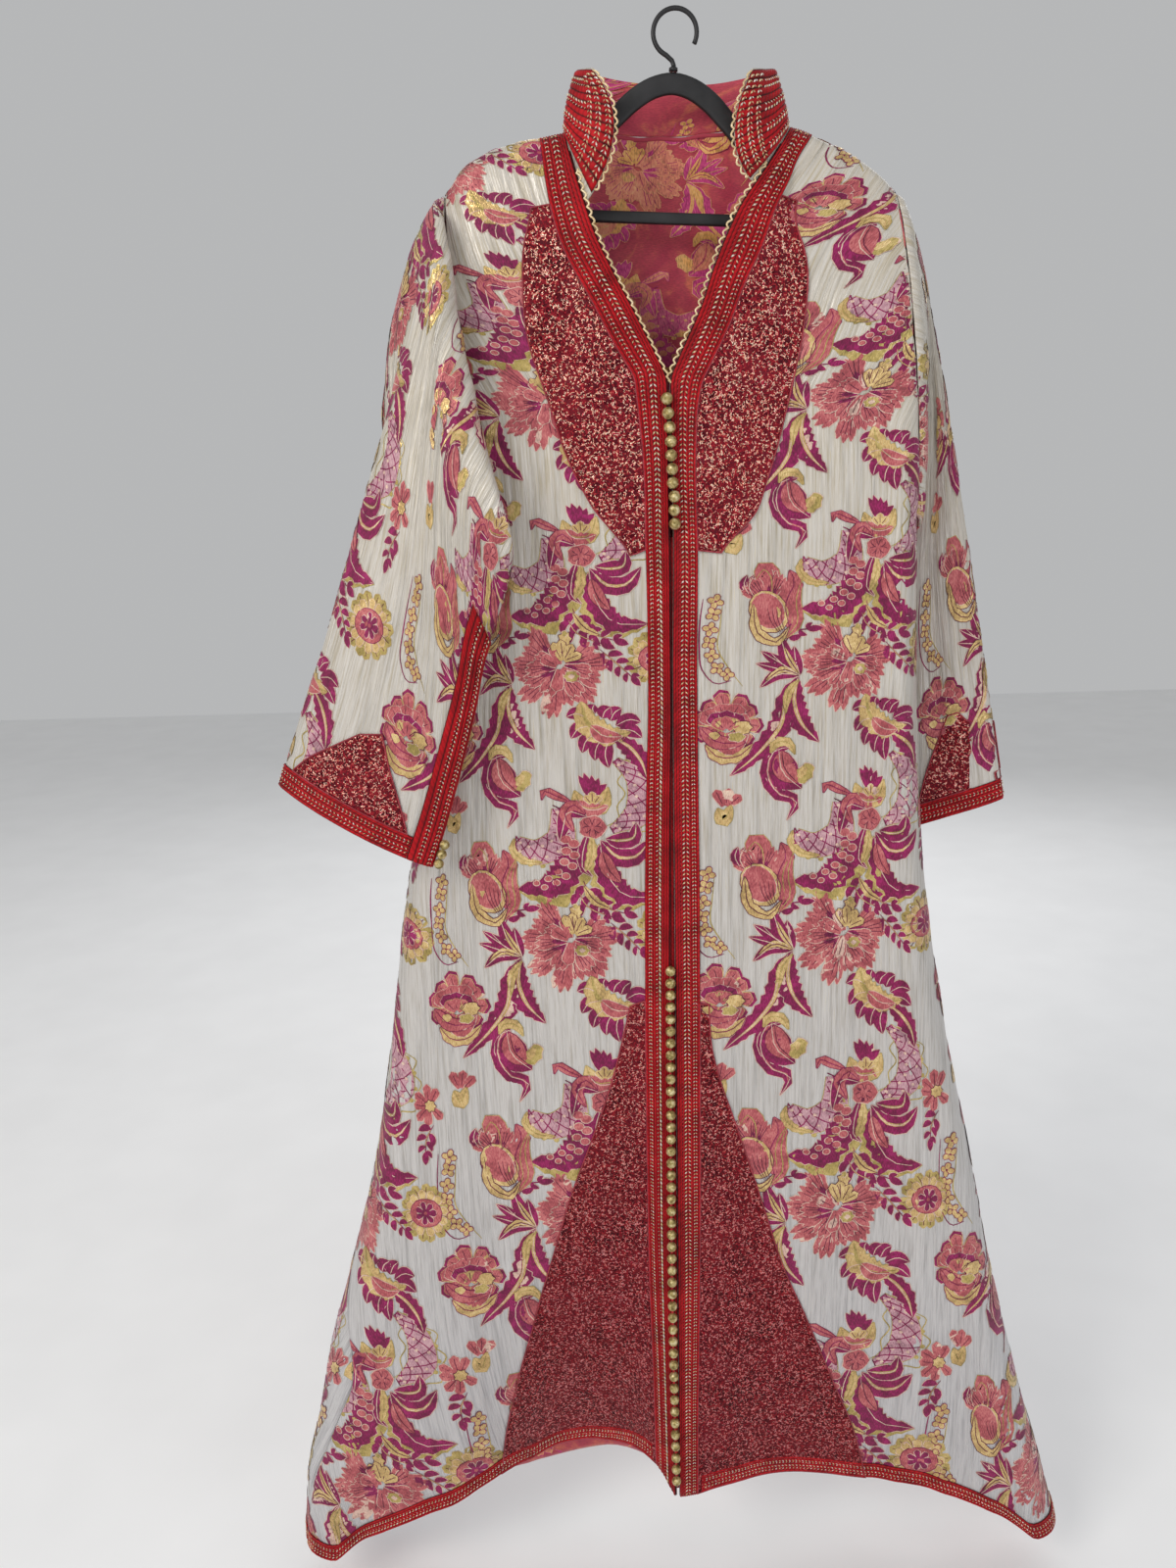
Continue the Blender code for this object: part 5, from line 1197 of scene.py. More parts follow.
    # Coral blossom with hanging leaves
    leaf(at((776, 920), (700, 900), (680, 960), (664, 1020)), 12, PLUM, 4)
    leaf(at((770, 910), (720, 870), (690, 900), (720, 980)), 10, CORAL, 5, edge=PLUM)
    leaf(at((780, 980), (752, 1080), (752, 1130), (790, 1164)), 8, PLUM, 3)
    leaf(at((792, 1000), (790, 1070), (762, 1144)), 8, GOLD, 4, teeth=4, edge=OLIVE)
    leaf(at((826, 1016), (900, 1090), (960, 1090), (1032, 1016)), 17, PLUM, 3, rib=GOLD)
    leaf(at((846, 1010), (900, 1020), (960, 1010), (972, 948)), 15, PLUM, 4, rib=OLIVE)
    leaf(at((820, 1030), (832, 1150), (900, 1250), (1056, 1256)), 29, OLIVE, 1, teeth=8, edge=None, veins=False)
    leaf(at((822, 1034), (846, 1150), (910, 1240), (1052, 1254)), 22, PLUM, 2, teeth=8)
    leaf(at((830, 1060), (856, 1140), (900, 1190)), 12, CORAL, 4, edge=DARK)
    blob(at((796, 962))[0], 31, 28, CORAL, 5, 9, 0.16, edge=CREAM)
    petals(at((796, 962))[0], 2, (11, 12, 11, 12, 11), (20, 90, 160, 230, 310),
           7, CORAL, 6, edge=DARK, vein=None)
    # Scaled plume
    leaf(at((716, 1000), (720, 1110), (660, 1220), (486, 1216)), 34, OLIVE, 1, teeth=8, edge=None, veins=False)
    leaf(at((706, 1000), (700, 1110), (640, 1190), (484, 1208)), 29, PLUM, 2, teeth=9, veins=False)
    scale_path = curve(at((704, 1020), (700, 1100), (650, 1168), (580, 1196)), 6)
    for k, spot in enumerate(scale_path):
        for shift in (-4.5, 4.0):
            blob((spot[0] + shift, spot[1] + shift * 0.6),
                 11.5 - k, 9.5 - k * 0.8, CORAL, 4, 0, n=10, edge=CREAM)
    # Broad tulip
    leaf(at((296, 1080), (330, 1040), (350, 1060), (366, 1140)), 17, CORAL, 2, edge=OLIVE)
    leaf(at((430, 1046), (452, 1090), (420, 1180), (440, 1290)), 17, CORAL, 2, edge=PLUM)
    petals(at((350, 1180))[0], 3, (40, 36, 36, 34), (-92, -122, -64, -148), 15, CORAL, 2)
    blob(at((354, 1216))[0], 40, 54, GOLD, 3, 0, turn=-0.5, edge=DARK)
    blob(at((350, 1212))[0], 33, 46, CORAL, 4, 0, turn=-0.5, edge=CREAM)
    for shift in (-8, -3, 2, 7):
        line([(102 + shift, 352), (104 + shift * 0.8, 366), (112 + shift * 0.4, 384)], 0.8, DARK, 6)
    leaf(at((290, 1180), (320, 1310), (390, 1342), (440, 1280)), 10, GOLD, 5, teeth=4, edge=DARK)
    leaf(at((420, 1330), (470, 1270), (462, 1170), (480, 1090)), 9, CORAL, 3, edge=OLIVE)
    spray(weft, at((424, 1350), (450, 1306), (540, 1290)), 2, 13)
    leaf(at((270, 1140), (250, 1100), (262, 1060)), 8, PLUM, 2)
    leaf(at((290, 1150), (270, 1110), (290, 1060)), 7, PLUM, 1)
    # Clover chain with its haze of gold scallops
    for k, spot in enumerate(at((142, 52), (136, 104), (126, 166), (124, 222), (136, 276), (160, 328), (200, 354))):
        clover(weft, spot, 16.5 - 0.4 * k, 0.3 + 0.75 * k)
    line(at((92, 40), (84, 130), (86, 240), (104, 340), (160, 392), (216, 380)), 1.6, PLUM, 1, 20)
    line(at((170, 60), (164, 150), (160, 250), (200, 320), (262, 404)), 1.4, OLIVE, 0, 20)
    # Leaf sprays
    spray(weft, at((752, 64), (790, 150), (930, 206)), 5, 15)
    spray(weft, at((852, 236), (900, 280), (984, 366)), 4, 14)
    spray(weft, at((726, 1210), (760, 1280), (880, 1336)), 4, 14)
    leaf(at((752, 82), (800, 150), (860, 178)), 8, GOLD, 4, teeth=4, edge=None)
    spray(weft, at((1150, 1040), (1108, 1100), (1100, 1166)), 3, 15)
    # Sunflower
    sun = at((1082, 1396))[0]
    petals(sun, 14, 35, np.arange(8, 368, 24), 12, OLIVE, 1, edge=GOLD, vein=DARK)
    petals(sun, 12, 28, np.arange(20, 380, 30), 10, GOLD, 3, vein=None)
    blob(sun, 41, 37, CORAL, 5, 12, 0.14, edge=PLUM)
    petals(sun, 2, 14, np.arange(0, 360, 51), 7, PLUM, 6, vein=None)
    # Small coral daisy and tulip
    petals(at((1136, 962))[0], 3, (26, 24, 25, 22, 25, 24, 22), (-100, -60, -140, 180, 140, 100, 40),
           12, CORAL, 2)
    blob(at((1140, 962))[0], 16, 15, GOLD, 4, 7, 0.25, edge=DARK)
    petals(at((206, 902))[0], 3, (25, 24, 23), (-120, -80, -40), 12, CORAL, 1)
    leaf(at((176, 900), (200, 950), (232, 890)), 12, GOLD, 3, edge=OLIVE)
    return (np.concatenate(weft.points), np.concatenate(weft.layers), np.concatenate(weft.faces),
            np.concatenate(weft.colours))


repeat = draw_repeat()


def thread(name, colour, second, rough, metal, glint):
    """Floating weft thread: two tones in fine streaks, a little sheen, and sparks of lurex where it is
    metallic."""
    material, shader, add, feed = new_material(name, colour, rough, metal)
    shader.inputs["Sheen Weight"].default_value = 0.08
    shader.inputs["Specular IOR Level"].default_value = 0.35
    uv = add("ShaderNodeUVMap", uv_map="UVMap").outputs["UV"]
    lines = add("ShaderNodeMapping", {"Vector": uv}, Scale=(900.0, 260.0, 1.0)).outputs["Vector"]
    streak = noise(add, lines, 1.0)
    drift = noise(add, uv, 60.0, 3.0, Distortion=0.6)
    both = add("ShaderNodeMix", data_type="FLOAT")
    both.inputs[0].default_value = 0.45
    material.node_tree.links.new(streak, both.inputs[2])
    material.node_tree.links.new(drift, both.inputs[3])
    feed("Base Color", ramp(add, both.outputs[0], ((0.38, tuple(0.55 * v for v in colour)), (0.5, colour),
                                                   (0.62, second))))
    if glint:
        feed("Metallic", ramp(add, streak, ((0.5, grey(metal)), (0.62, grey(min(1.0, metal + glint))))))
        feed("Roughness", ramp(add, streak, ((0.45, grey(rough)), (0.65, grey(max(0.2, rough - 0.25))))))
    feed("Normal", relief(add, streak, 0.55, 0.0006))
    return material


THREADS = (
    thread("thread_plum", (0.21, 0.004, 0.062), (0.36, 0.012, 0.125), 0.55, 0.0, 0.0),
    thread("thread_coral", (0.45, 0.09, 0.105), (0.62, 0.21, 0.2), 0.55, 0.0, 0.35),
    thread("thread_gold", (0.6, 0.4, 0.16), (0.82, 0.62, 0.3), 0.42, 0.2, 0.5),
    thread("thread_cream", (0.7, 0.46, 0.38), (0.8, 0.62, 0.48), 0.52, 0.05, 0.3),
    thread("thread_dark", (0.11, 0.006, 0.032), (0.18, 0.012, 0.05), 0.6, 0.0, 0.0),
    thread("thread_olive", (0.44, 0.33, 0.1), (0.66, 0.5, 0.2), 0.42, 0.2, 0.5),
    thread("thread_lilac", (0.5, 0.26, 0.31), (0.62, 0.4, 0.42), 0.55, 0.0, 0.0),
)


def body_rows(count):
    """Height down the body of a number of repeats below the first peony: the cloth is pulled a little
    longer in each lower repeat."""
    return 593.0 + 273.0 * count + 18.95 * count ** 2


def weave_flowers(name, wall, u_peony, rows_at=body_rows, cols=None, skip=None, inside=False, limits=None):
    """Repeat laid over a whole panel in rows and columns, clipped at its edges, as one mesh; u_peony is
    the place across of a peony, rows_at gives the place down for a count of repeats; inside shows its
    reverse, and limits are the places down between which it is laid."""
    flat, layers, faces, colours = repeat
    u_low, u_high = wall.u.min(), wall.u.max()
    v_low, v_high = wall.v.min(), wall.v.max()
    first_i = math.floor((u_low - u_peony) / TILE_WIDE - 1)
    last_i = math.ceil((u_high - u_peony) / TILE_WIDE + 1)
    down = (flat[:, 1] - PEONY_AT[1]) / TILE_TALL
    all_points, all_faces, all_colours, all_uv = [], [], [], []
    count = 0
    for i in range(first_i, last_i + 1):
        for j in range(-4, 5):
            v = rows_at(down + j)
            u = u_peony + (flat[:, 0] - PEONY_AT[0]) * (1.0 + 0.05 * (down + j - 1.0)) + i * TILE_WIDE
            near = (u > u_low - 5) & (u < u_high + 5) & (v > v_low - 5) & (v < v_high + 5)
            if not near.any():
                continue
            keep = near[faces].any(axis=1)
            if limits is not None:
                middle = v[faces].mean(axis=1)
                keep &= (middle >= limits[0]) & (middle < limits[1])
            if not keep.any():
                continue
            row, col = wall.locate(u, v, cols)
            out = CLOTH_THICK / 2 + FLOAT_BASE + FLOAT_STEP * layers
            spots = wall.place(row, col, -out if inside else out)
            q = spots[faces]
            area = 0.5 * np.linalg.norm(np.cross(q[:, 2] - q[:, 0], q[:, 3] - q[:, 1]), axis=-1)
            w = flat[faces]
            d1 = w[:, 2] - w[:, 0]
            d2 = w[:, 3] - w[:, 1]
            drawn = 0.5 * np.abs(d1[:, 0] * d2[:, 1] - d1[:, 1] * d2[:, 0])
            long = np.linalg.norm(np.roll(q, -1, axis=1) - q, axis=-1).max(axis=1)
            keep &= (area > 0.3 * drawn) & (area < 2.5 * drawn + 1.0) & (area > 0.02) & (long < 30.0)
            if skip is not None:
                keep &= ~skip(row[faces].mean(axis=1), col[faces].mean(axis=1))
            if not keep.any():
                continue
            used = np.unique(faces[keep])
            index = np.full(len(flat), -1)
            index[used] = np.arange(len(used)) + count
            all_points.append(spots[used])
            all_uv.append(np.stack([u, -v], -1)[used] * 0.001)
            all_faces.append(index[faces[keep]])
            all_colours.append(colours[keep])
            count += len(used)
    points = np.concatenate(all_points) + HANG
    woven = np.concatenate(all_faces)
    piece = grid_mesh(name, points, woven[:, ::-1] if inside else woven, np.concatenate(all_uv))
    for material in (REVERSE_THREADS if inside else THREADS):
        piece.data.materials.append(material)
    piece.data.polygons.foreach_set("material_index", np.concatenate(all_colours).astype(np.int32))
    piece.data.update()
    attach(piece, "root")


def under_panel(line_col, right, wall):
    """Test for the faces that lie hidden under the glitter panels."""
    def hidden(row, col):
        z = sample(wall.flat[:, :, 2], row, col)
        covered = (col > line_col) if right else (col < line_col)
        return covered & (((z < HIDDEN[0]) & (z > HIDDEN[1])) | (z < HIDDEN[2]))
    return hidden


def sleeve_rows(count):
    """Distance along a sleeve from its cuff of a number of repeats from the first peony."""
    return -190.0 + 300.0 * count


# Heights between and below which the panels hide the cloth
HIDDEN = (-185.0, -470.0, -985.0)
REVERSE_THREADS = (
    thread("reverse_magenta", (0.62, 0.05, 0.22), (0.75, 0.12, 0.3), 0.6, 0.0, 0.0),
    thread("reverse_rose", (0.78, 0.24, 0.16), (0.85, 0.38, 0.22), 0.6, 0.0, 0.0),
    thread("reverse_orange", (0.85, 0.42, 0.12), (0.92, 0.56, 0.22), 0.55, 0.0, 0.0),
    thread("reverse_amber", (0.84, 0.38, 0.18), (0.9, 0.5, 0.26), 0.55, 0.0, 0.0),
    thread("reverse_wine", (0.48, 0.02, 0.13), (0.58, 0.05, 0.18), 0.6, 0.0, 0.0),
    thread("reverse_honey", (0.78, 0.42, 0.14), (0.86, 0.54, 0.24), 0.55, 0.0, 0.0),
    thread("reverse_pink", (0.66, 0.12, 0.24), (0.78, 0.24, 0.3), 0.6, 0.0, 0.0),
)
weave_flowers("flowers_front_right", right_wall, 181.0, cols=(0.0, BAND_AT + 1.5),
              skip=under_panel(PANEL_AT + 1, True, right_wall))
weave_flowers("flowers_front_left", left_wall, -119.0, cols=(EDGE_AT - BAND_AT - 1.5, EDGE_AT),
              skip=under_panel(EDGE_AT - PANEL_AT - 1, False, left_wall))
weave_flowers("flowers_back_upper", back_wall, 60.0, limits=(-50.0, 900.0))
weave_flowers("flowers_back_lower", back_wall, 60.0, limits=(900.0, 1700.0))
weave_flowers("flowers_sleeve_left", arm_l_wall, -40.0, sleeve_rows)
weave_flowers("flowers_sleeve_right", arm_r_wall, 60.0, sleeve_rows)
weave_flowers("flowers_reverse_neck", back_wall, 30.0, inside=True, limits=(60.0, 380.0))
weave_flowers("flowers_reverse_hem", back_wall, 30.0, inside=True, limits=(1540.0, 1640.0))


# ---- Glitter panels: crimson cloth laid on the chest, the skirt and the sleeves and covered in fine
# curled gold and pink thread, its edge held by a dark red couched cord
CHEST_ROWS = (-168.0, -486.0)
SKIRT_FROM = -964.0
SLEEVE_PATCH_LEFT = (
    (-306, -649, -284, -649), (-334, -659, -277, -675), (-358, -668, -268, -705),
    (-376, -679, -260, -736),
)
SLEEVE_PATCH_RIGHT = (
    (321, -669, 311, -673), (341, -686, 300, -702), (356, -706, 290, -734),
    (364, -735, 284, -764),
)
CUFF_CLEAR = 24.2
PANEL_TOP = 2.5
PANEL_LOW = 1.2

glitter, shader, add, feed = new_material("glitter_thread", (0.4, 0.05, 0.07), 0.42, 0.25)
shader.inputs["Specular IOR Level"].default_value = 0.2
here = add("ShaderNodeTexCoord").outputs["Object"]
warp = add("ShaderNodeTexNoise", {"Vector": here}, Scale=160.0, Detail=2.0).outputs["Color"]
worm = add("ShaderNodeTexVoronoi", {"Vector": blend(add, 0.018, here, warp)}, feature="DISTANCE_TO_EDGE",
           Scale=200.0)
loops = ramp(add, worm.outputs["Distance"], ((0.03, grey(1.0)), (0.12, grey(0.85)), (0.17, grey(0.0))))
hue = noise(add, here, 330.0, 1.5)
curls = ramp(add, hue, ((0.42, (0.24, 0.004, 0.014)), (0.51, (0.42, 0.014, 0.028)), (0.555, (0.86, 0.4, 0.26)),
                        (0.6, (1.0, 0.84, 0.66)), (0.64, (0.5, 0.03, 0.06))))
ground = ramp(add, noise(add, here, 22.0, 3.0), ((0.3, (0.05, 0.001, 0.005)), (0.5, (0.1, 0.002, 0.009)),
                                                 (0.7, (0.18, 0.01, 0.022))))
# Painted shade: lower down the glitter is darkened towards a deeper crimson, standing in for the weaker light on the
# skirt
high = add("ShaderNodeSeparateXYZ", {"Vector": here}).outputs["Z"]
rise = add("ShaderNodeMapRange", {"Value": high}, **{"From Min": -1.3, "From Max": -0.4}).outputs["Result"]
painted_shade_low = ramp(add, rise, ((0.0, (0.78, 0.46, 0.6)), (1.0, grey(1.0))))
feed("Base Color", blend(add, 1.0, blend(add, loops, ground, curls), painted_shade_low, "MULTIPLY"))
feed("Metallic", ramp(add, hue, ((0.44, grey(0.05)), (0.6, grey(0.75)))))
feed("Roughness", ramp(add, hue, ((0.4, grey(0.55)), (0.6, grey(0.25)))))
feed("Normal", relief(add, loops, 0.9, 0.0011))


def cord_material(name, colour, second, rough, metal=0.0):
    """Twisted thread: fine slanting bands of two tones."""
    material, shader, add, feed = new_material(name, colour, rough, metal)
    shader.inputs["Sheen Weight"].default_value = 0.08
    here = add("ShaderNodeTexCoord").outputs["Object"]
    grain = noise(add, here, 1500.0)
    both = add("ShaderNodeMath", {"Value": grain}, operation="MULTIPLY")
    material.node_tree.links.new(noise(add, here, 70.0, 3.0), both.inputs[1])
    feed("Base Color", ramp(add, both.outputs[0], ((0.16, tuple(0.6 * v for v in colour)), (0.27, colour),
                                                   (0.36, second))))
    feed("Normal", relief(add, grain, 0.5, 0.0004))
    return material


couching = cord_material("couched_dark_red", (0.3, 0.01, 0.025), (0.42, 0.04, 0.06), 0.5)
# Columns of the sleeves' outward halves
arm_cols = {-1: (0.0, 46.0), 1: (46.0, 92.0)}


def find_xz(wall, x, z, cols):
    """Rows and columns of a wall at places across and up, held to a range of columns."""
    kept_u, kept_v = wall.u, wall.v
    wall.u, wall.v = wall.flat[:, :, 0], wall.flat[:, :, 2]
    row, col = wall.locate(x, z, cols)
    wall.u, wall.v = kept_u, kept_v
    return row, col


def glitter_plate(name, wall, row, col, node):
    """Panel of glitter cloth on a wall over a grid of rows and columns; returns the path round its edge for the
    couched cord.
    """
    top = wall.place(row, col, PANEL_TOP)
    low = wall.place(row, col, PANEL_LOW)
    piece, _ = shell(name, top, low)
    piece.data.materials.append(glitter)
    face_out(piece)
    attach(piece, "root")
    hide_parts(node)
    return np.concatenate([top[0], top[1:, -1], top[-1, -2::-1], top[-2:0:-1, 0], top[:1, 0]])


def cord_piece(name, paths, radius, material, sides):
    """One mesh of round cords along paths in garment millimetres."""
    all_points, all_faces, count = [], [], 0
    for path in paths:
        points, faces = tube(np.asarray(path) + HANG, radius, sides)
        all_points.append(points)
        all_faces.append(faces + count)
        count += len(points)
    piece = grid_mesh(name, np.concatenate(all_points), np.concatenate(all_faces))
    piece.data.materials.append(material)
    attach(piece, "root")


rims = []
for name, wall, right, node in (("glitter_chest_left", left_wall, False, "panel_chest_left"),
                                ("glitter_chest_right", right_wall, True, "panel_chest_right"),
                                ("glitter_skirt_left", left_wall, False, "panel_skirt_left"),
                                ("glitter_skirt_right", right_wall, True, "panel_skirt_right")):
    line = PANEL_AT if right else EDGE_AT - PANEL_AT
    heights = wall.flat[:, int(line), 2]
    if "chest" in name:
        first, last = np.interp((-CHEST_ROWS[0], -CHEST_ROWS[1]), -heights, np.arange(len(heights)))
        count = 70
    else:
        first, last = np.interp(-SKIRT_FROM, -heights, np.arange(len(heights))), len(heights) - 1.1
        count = 120
    cols = np.linspace(PANEL_AT, BAND_AT + 0.1, 27)
    if not right:
        cols = EDGE_AT - cols[::-1]
    row, col = np.meshgrid(np.linspace(first, last, count), cols, indexing="ij")
    rims.append(glitter_plate(name, wall, row, col, node))
for name, wall, table, side, node in (
        ("glitter_sleeve_left", arm_l_wall, SLEEVE_PATCH_LEFT, -1, "panel_sleeve_left"),
        ("glitter_sleeve_right", arm_r_wall, SLEEVE_PATCH_RIGHT, 1, "panel_sleeve_right")):
    ends = cubic(np.arange(4.0), np.array(table), np.linspace(0.0, 3.0, 26))
    share = np.linspace(0.0, 1.0, 26)[None, :]
    x = ends[:, 0:1] * (1 - share) + ends[:, 2:3] * share
    z = ends[:, 1:2] * (1 - share) + ends[:, 3:4] * share
    if side > 0:
        x, z = x[:, ::-1], z[:, ::-1]
    row, col = find_xz(wall, x, z, arm_cols[side])
    lowest = row[-1]
    step = np.interp(col[-1], np.arange(wall.v.shape[1]), wall.v[-1] - wall.v[-2])
    to_band = wall.grid.shape[0] - 1 - CUFF_CLEAR / step - lowest
    row = row + np.linspace(0.0, 1.0, 26)[:, None] * to_band[None, :]
    rims.append(glitter_plate(name, wall, row, col, node))
cord_piece("couched_edges", rims, 0.85, couching, 5)


# ---- Braid: strips of red silk cord laid side by side down the fronts, round the neck, the hem and the
# cuffs, worked over with slanting stitches of gold and silver thread in rows like arrow heads
class Ribbon:
    """Band between two lines of rows and columns on a wall; s runs along it in mm, f across it."""

    def __init__(self, wall, edge_a, edge_b, base):
        self.wall = wall
        self.a = np.asarray(edge_a, float)
        self.b = np.asarray(edge_b, float)
        self.base = base
        middle = (self.a + self.b) / 2
        spots = wall.place(middle[:, 0], middle[:, 1], base)
        self.key = running(spots)
        self.long = self.key[-1]
        self.wide = np.linalg.norm(wall.place(self.a[:, 0], self.a[:, 1], base)
                                   - wall.place(self.b[:, 0], self.b[:, 1], base), axis=1).mean()

    def place(self, s, f, high):
        """Points at lengths s and shares f, a height above the underside."""
        s, f = np.broadcast_arrays(np.asarray(s, float), np.asarray(f, float))
        row = (np.interp(s, self.key, self.a[:, 0]) * (1 - f) + np.interp(s, self.key, self.b[:, 0]) * f)
        col = (np.interp(s, self.key, self.a[:, 1]) * (1 - f) + np.interp(s, self.key, self.b[:, 1]) * f)
        return self.wall.place(row, col, self.base + np.asarray(high, float))


CORD_UV = 0.003


def cord_height(f, cords):
    """Height across a ribbon of cords laid side by side: rounded humps on a flat ground."""
    return 0.75 + 0.95 * np.abs(np.sin(math.pi * cords * np.asarray(f))) ** 0.6


def ribbon_piece(name, ribbon, cords, step, node):
    """Closed body of a ribbon of cords."""
    s = np.linspace(0.0, ribbon.long, max(4, int(ribbon.long / step)))[:, None]
    f = np.linspace(0.0, 1.0, 3 * cords + 1)[None, :]
    top = ribbon.place(s, f, cord_height(f, cords))
    under = ribbon.place(s, f, 0.05)
    uv = np.stack(np.broadcast_arrays(s * 0.001, f * cords * CORD_UV), -1)
    piece, _ = shell(name, top, under, uv)
    face_out(piece)
    piece.data.materials.append(braid_red)
    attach(piece, "root")
    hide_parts(node)


braid_red, shader, add, feed = new_material("braid_red_silk", (0.48, 0.008, 0.016), 0.6)
shader.inputs["Sheen Weight"].default_value = 0.06
shader.inputs["Specular IOR Level"].default_value = 0.18
uv = add("ShaderNodeUVMap", uv_map="UVMap").outputs["UV"]
here = add("ShaderNodeTexCoord").outputs["Object"]
twist = add("ShaderNodeTexWave", {"Vector": uv}, wave_type="BANDS", bands_direction="DIAGONAL",
            Scale=110.0, Distortion=1.5).outputs["Fac"]
across = add("ShaderNodeSeparateXYZ", {"Vector": uv}).outputs["Y"]
turns = add("ShaderNodeMath", {"Value": across}, operation="MULTIPLY")
turns.inputs[1].default_value = math.pi / CORD_UV
swing = add("ShaderNodeMath", {"Value": turns.outputs[0]}, operation="SINE").outputs[0]
furrow = add("ShaderNodeMath", {"Value": swing}, operation="ABSOLUTE").outputs[0]
red = ramp(add, noise(add, here, 45.0, 4.0), ((0.3, (0.25, 0.001, 0.004)), (0.5, (0.41, 0.002, 0.007)),
                                              (0.72, (0.56, 0.006, 0.012))))
# Painted shade: the red is darkened along the slanting bands of the twist and in the furrows between the cords, over
# the same twist that gives the bump
dim = blend(add, 0.6, red, ramp(add, twist, ((0.1, grey(0.55)), (0.6, grey(1.0)))), "MULTIPLY")
painted_furrow_shade = ramp(add, furrow, ((0.1, grey(0.16)), (0.45, grey(0.75)), (0.8, grey(1.0))))
feed("Base Color", blend(add, 1.0, dim, painted_furrow_shade, "MULTIPLY"))
feed("Normal", relief(add, twist, 0.55, 0.0007))

STITCHES = {"gold": [], "silver": [], "red": []}


def stitch(ribbon, s, f, slant, cords, long, wide, kind, high=0.8):
    """Slanting stitches on a ribbon: each is a long lozenge with a ridge, lying on the cord under it."""
    s = np.asarray(s, float)
    f = np.broadcast_to(np.asarray(f, float), s.shape)
    lift = cord_height(f, cords) + 0.15
    middle = ribbon.place(s, f, lift)
    along = unit(ribbon.place(s + 0.6, f, lift) - ribbon.place(s - 0.6, f, lift))
    side = unit(ribbon.place(s, f + 0.02, lift) - ribbon.place(s, f - 0.02, lift))
    out = unit(np.cross(along, side))
    reach = ribbon.place(s, f, lift + 1.0) - middle
    out *= np.sign(np.sum(out * reach, axis=1, keepdims=True))
    a = along * math.cos(slant) + side * math.sin(slant)
    b = np.cross(out, a)
    corners = np.stack([middle - a * long / 2, middle + a * long / 2, middle - b * wide / 2, middle + b * wide / 2,
                        middle + out * high], axis=1)
    STITCHES[kind].append(corners)


LOZENGE = np.array([(0, 2, 4), (2, 1, 4), (1, 3, 4), (3, 0, 4), (2, 0, 3), (1, 2, 3)])


def arrow_row(ribbon, f, cords, pitch=4.4, half=2.0, ends=3.0, long=4.0, wide=1.5):
    """Row of arrow-head stitches: two lines of opposite slant side by side, gold and silver by turns."""
    s = np.arange(ends, ribbon.long - ends, pitch)
    other = np.arange(len(s)) % 2 == 1
    for side in (-1, 1):
        for kind, pick in (("gold", ~other), ("silver", other)):
            stitch(ribbon, s[pick], f + side * half / ribbon.wide, side * 0.8, cords, long, wide, kind)


FRONT_CORDS = 9
rows = np.linspace(2.4, 180.0, 320)
for name, wall, cols, node, slant in (
        ("band_left", left_wall, (0.15, EDGE_AT - BAND_AT), "braid_front_left", 0.6),
        ("band_right", right_wall, (EDGE_AT - 0.15, BAND_AT), "braid_front_right", -0.6)):
    band = Ribbon(wall, np.stack([rows, np.full(320, cols[0])], -1), np.stack([rows, np.full(320, cols[1])], -1),
                  1.5)
    ribbon_piece(name, band, FRONT_CORDS, 9.0, node)
    arrow_row(band, 0.45, FRONT_CORDS, pitch=4.8, half=2.2, long=4.7, wide=1.8)
    arrow_row(band, 0.78, FRONT_CORDS, pitch=4.2, half=1.2, long=2.9, wide=1.3)
    stitch(band, np.arange(4.0, band.long - 3.0, 4.4), 0.24, slant, FRONT_CORDS, 3.4, 1.4, "red", 0.7)


def level_line(wall, cols, up):
    """Rows and columns of a line a distance above a wall's last row."""
    last = wall.grid.shape[0] - 1.0
    step = np.linalg.norm(wall.flat[-1] - wall.flat[-2], axis=-1)
    tall = np.interp(cols, np.arange(len(step)), step)
    return np.stack([last - up / tall, cols], -1)


EDGE_CORDS = 7
HEM_WIDE = 25.0
CUFF_WIDE = 24.0
for name, wall, ends, wide, node in (
        ("hem_band_left", left_wall, (EDGE_AT - BAND_AT + 0.3, EDGE_AT - 0.5), HEM_WIDE, "braid_hem_left"),
        ("hem_band_right", right_wall, (0.5, BAND_AT - 0.3), HEM_WIDE, "braid_hem_right"),
        ("hem_band_back", back_wall, (0.5, 89.5), HEM_WIDE, "braid_hem_back"),
        ("cuff_band_left", arm_l_wall, (11.7, 92.0), CUFF_WIDE, "braid_cuff_left"),
        ("cuff_band_right", arm_r_wall, (0.0, 80.3), CUFF_WIDE, "braid_cuff_right")):
    cols = np.linspace(ends[0], ends[1], 180)
    band = Ribbon(wall, level_line(wall, cols, 0.2), level_line(wall, cols, wide), 1.4)
    ribbon_piece(name, band, EDGE_CORDS, 7.0, node)
    arrow_row(band, 0.34, EDGE_CORDS)
    arrow_row(band, 0.72, EDGE_CORDS, pitch=4.2, half=1.2, long=2.9, wide=1.3)

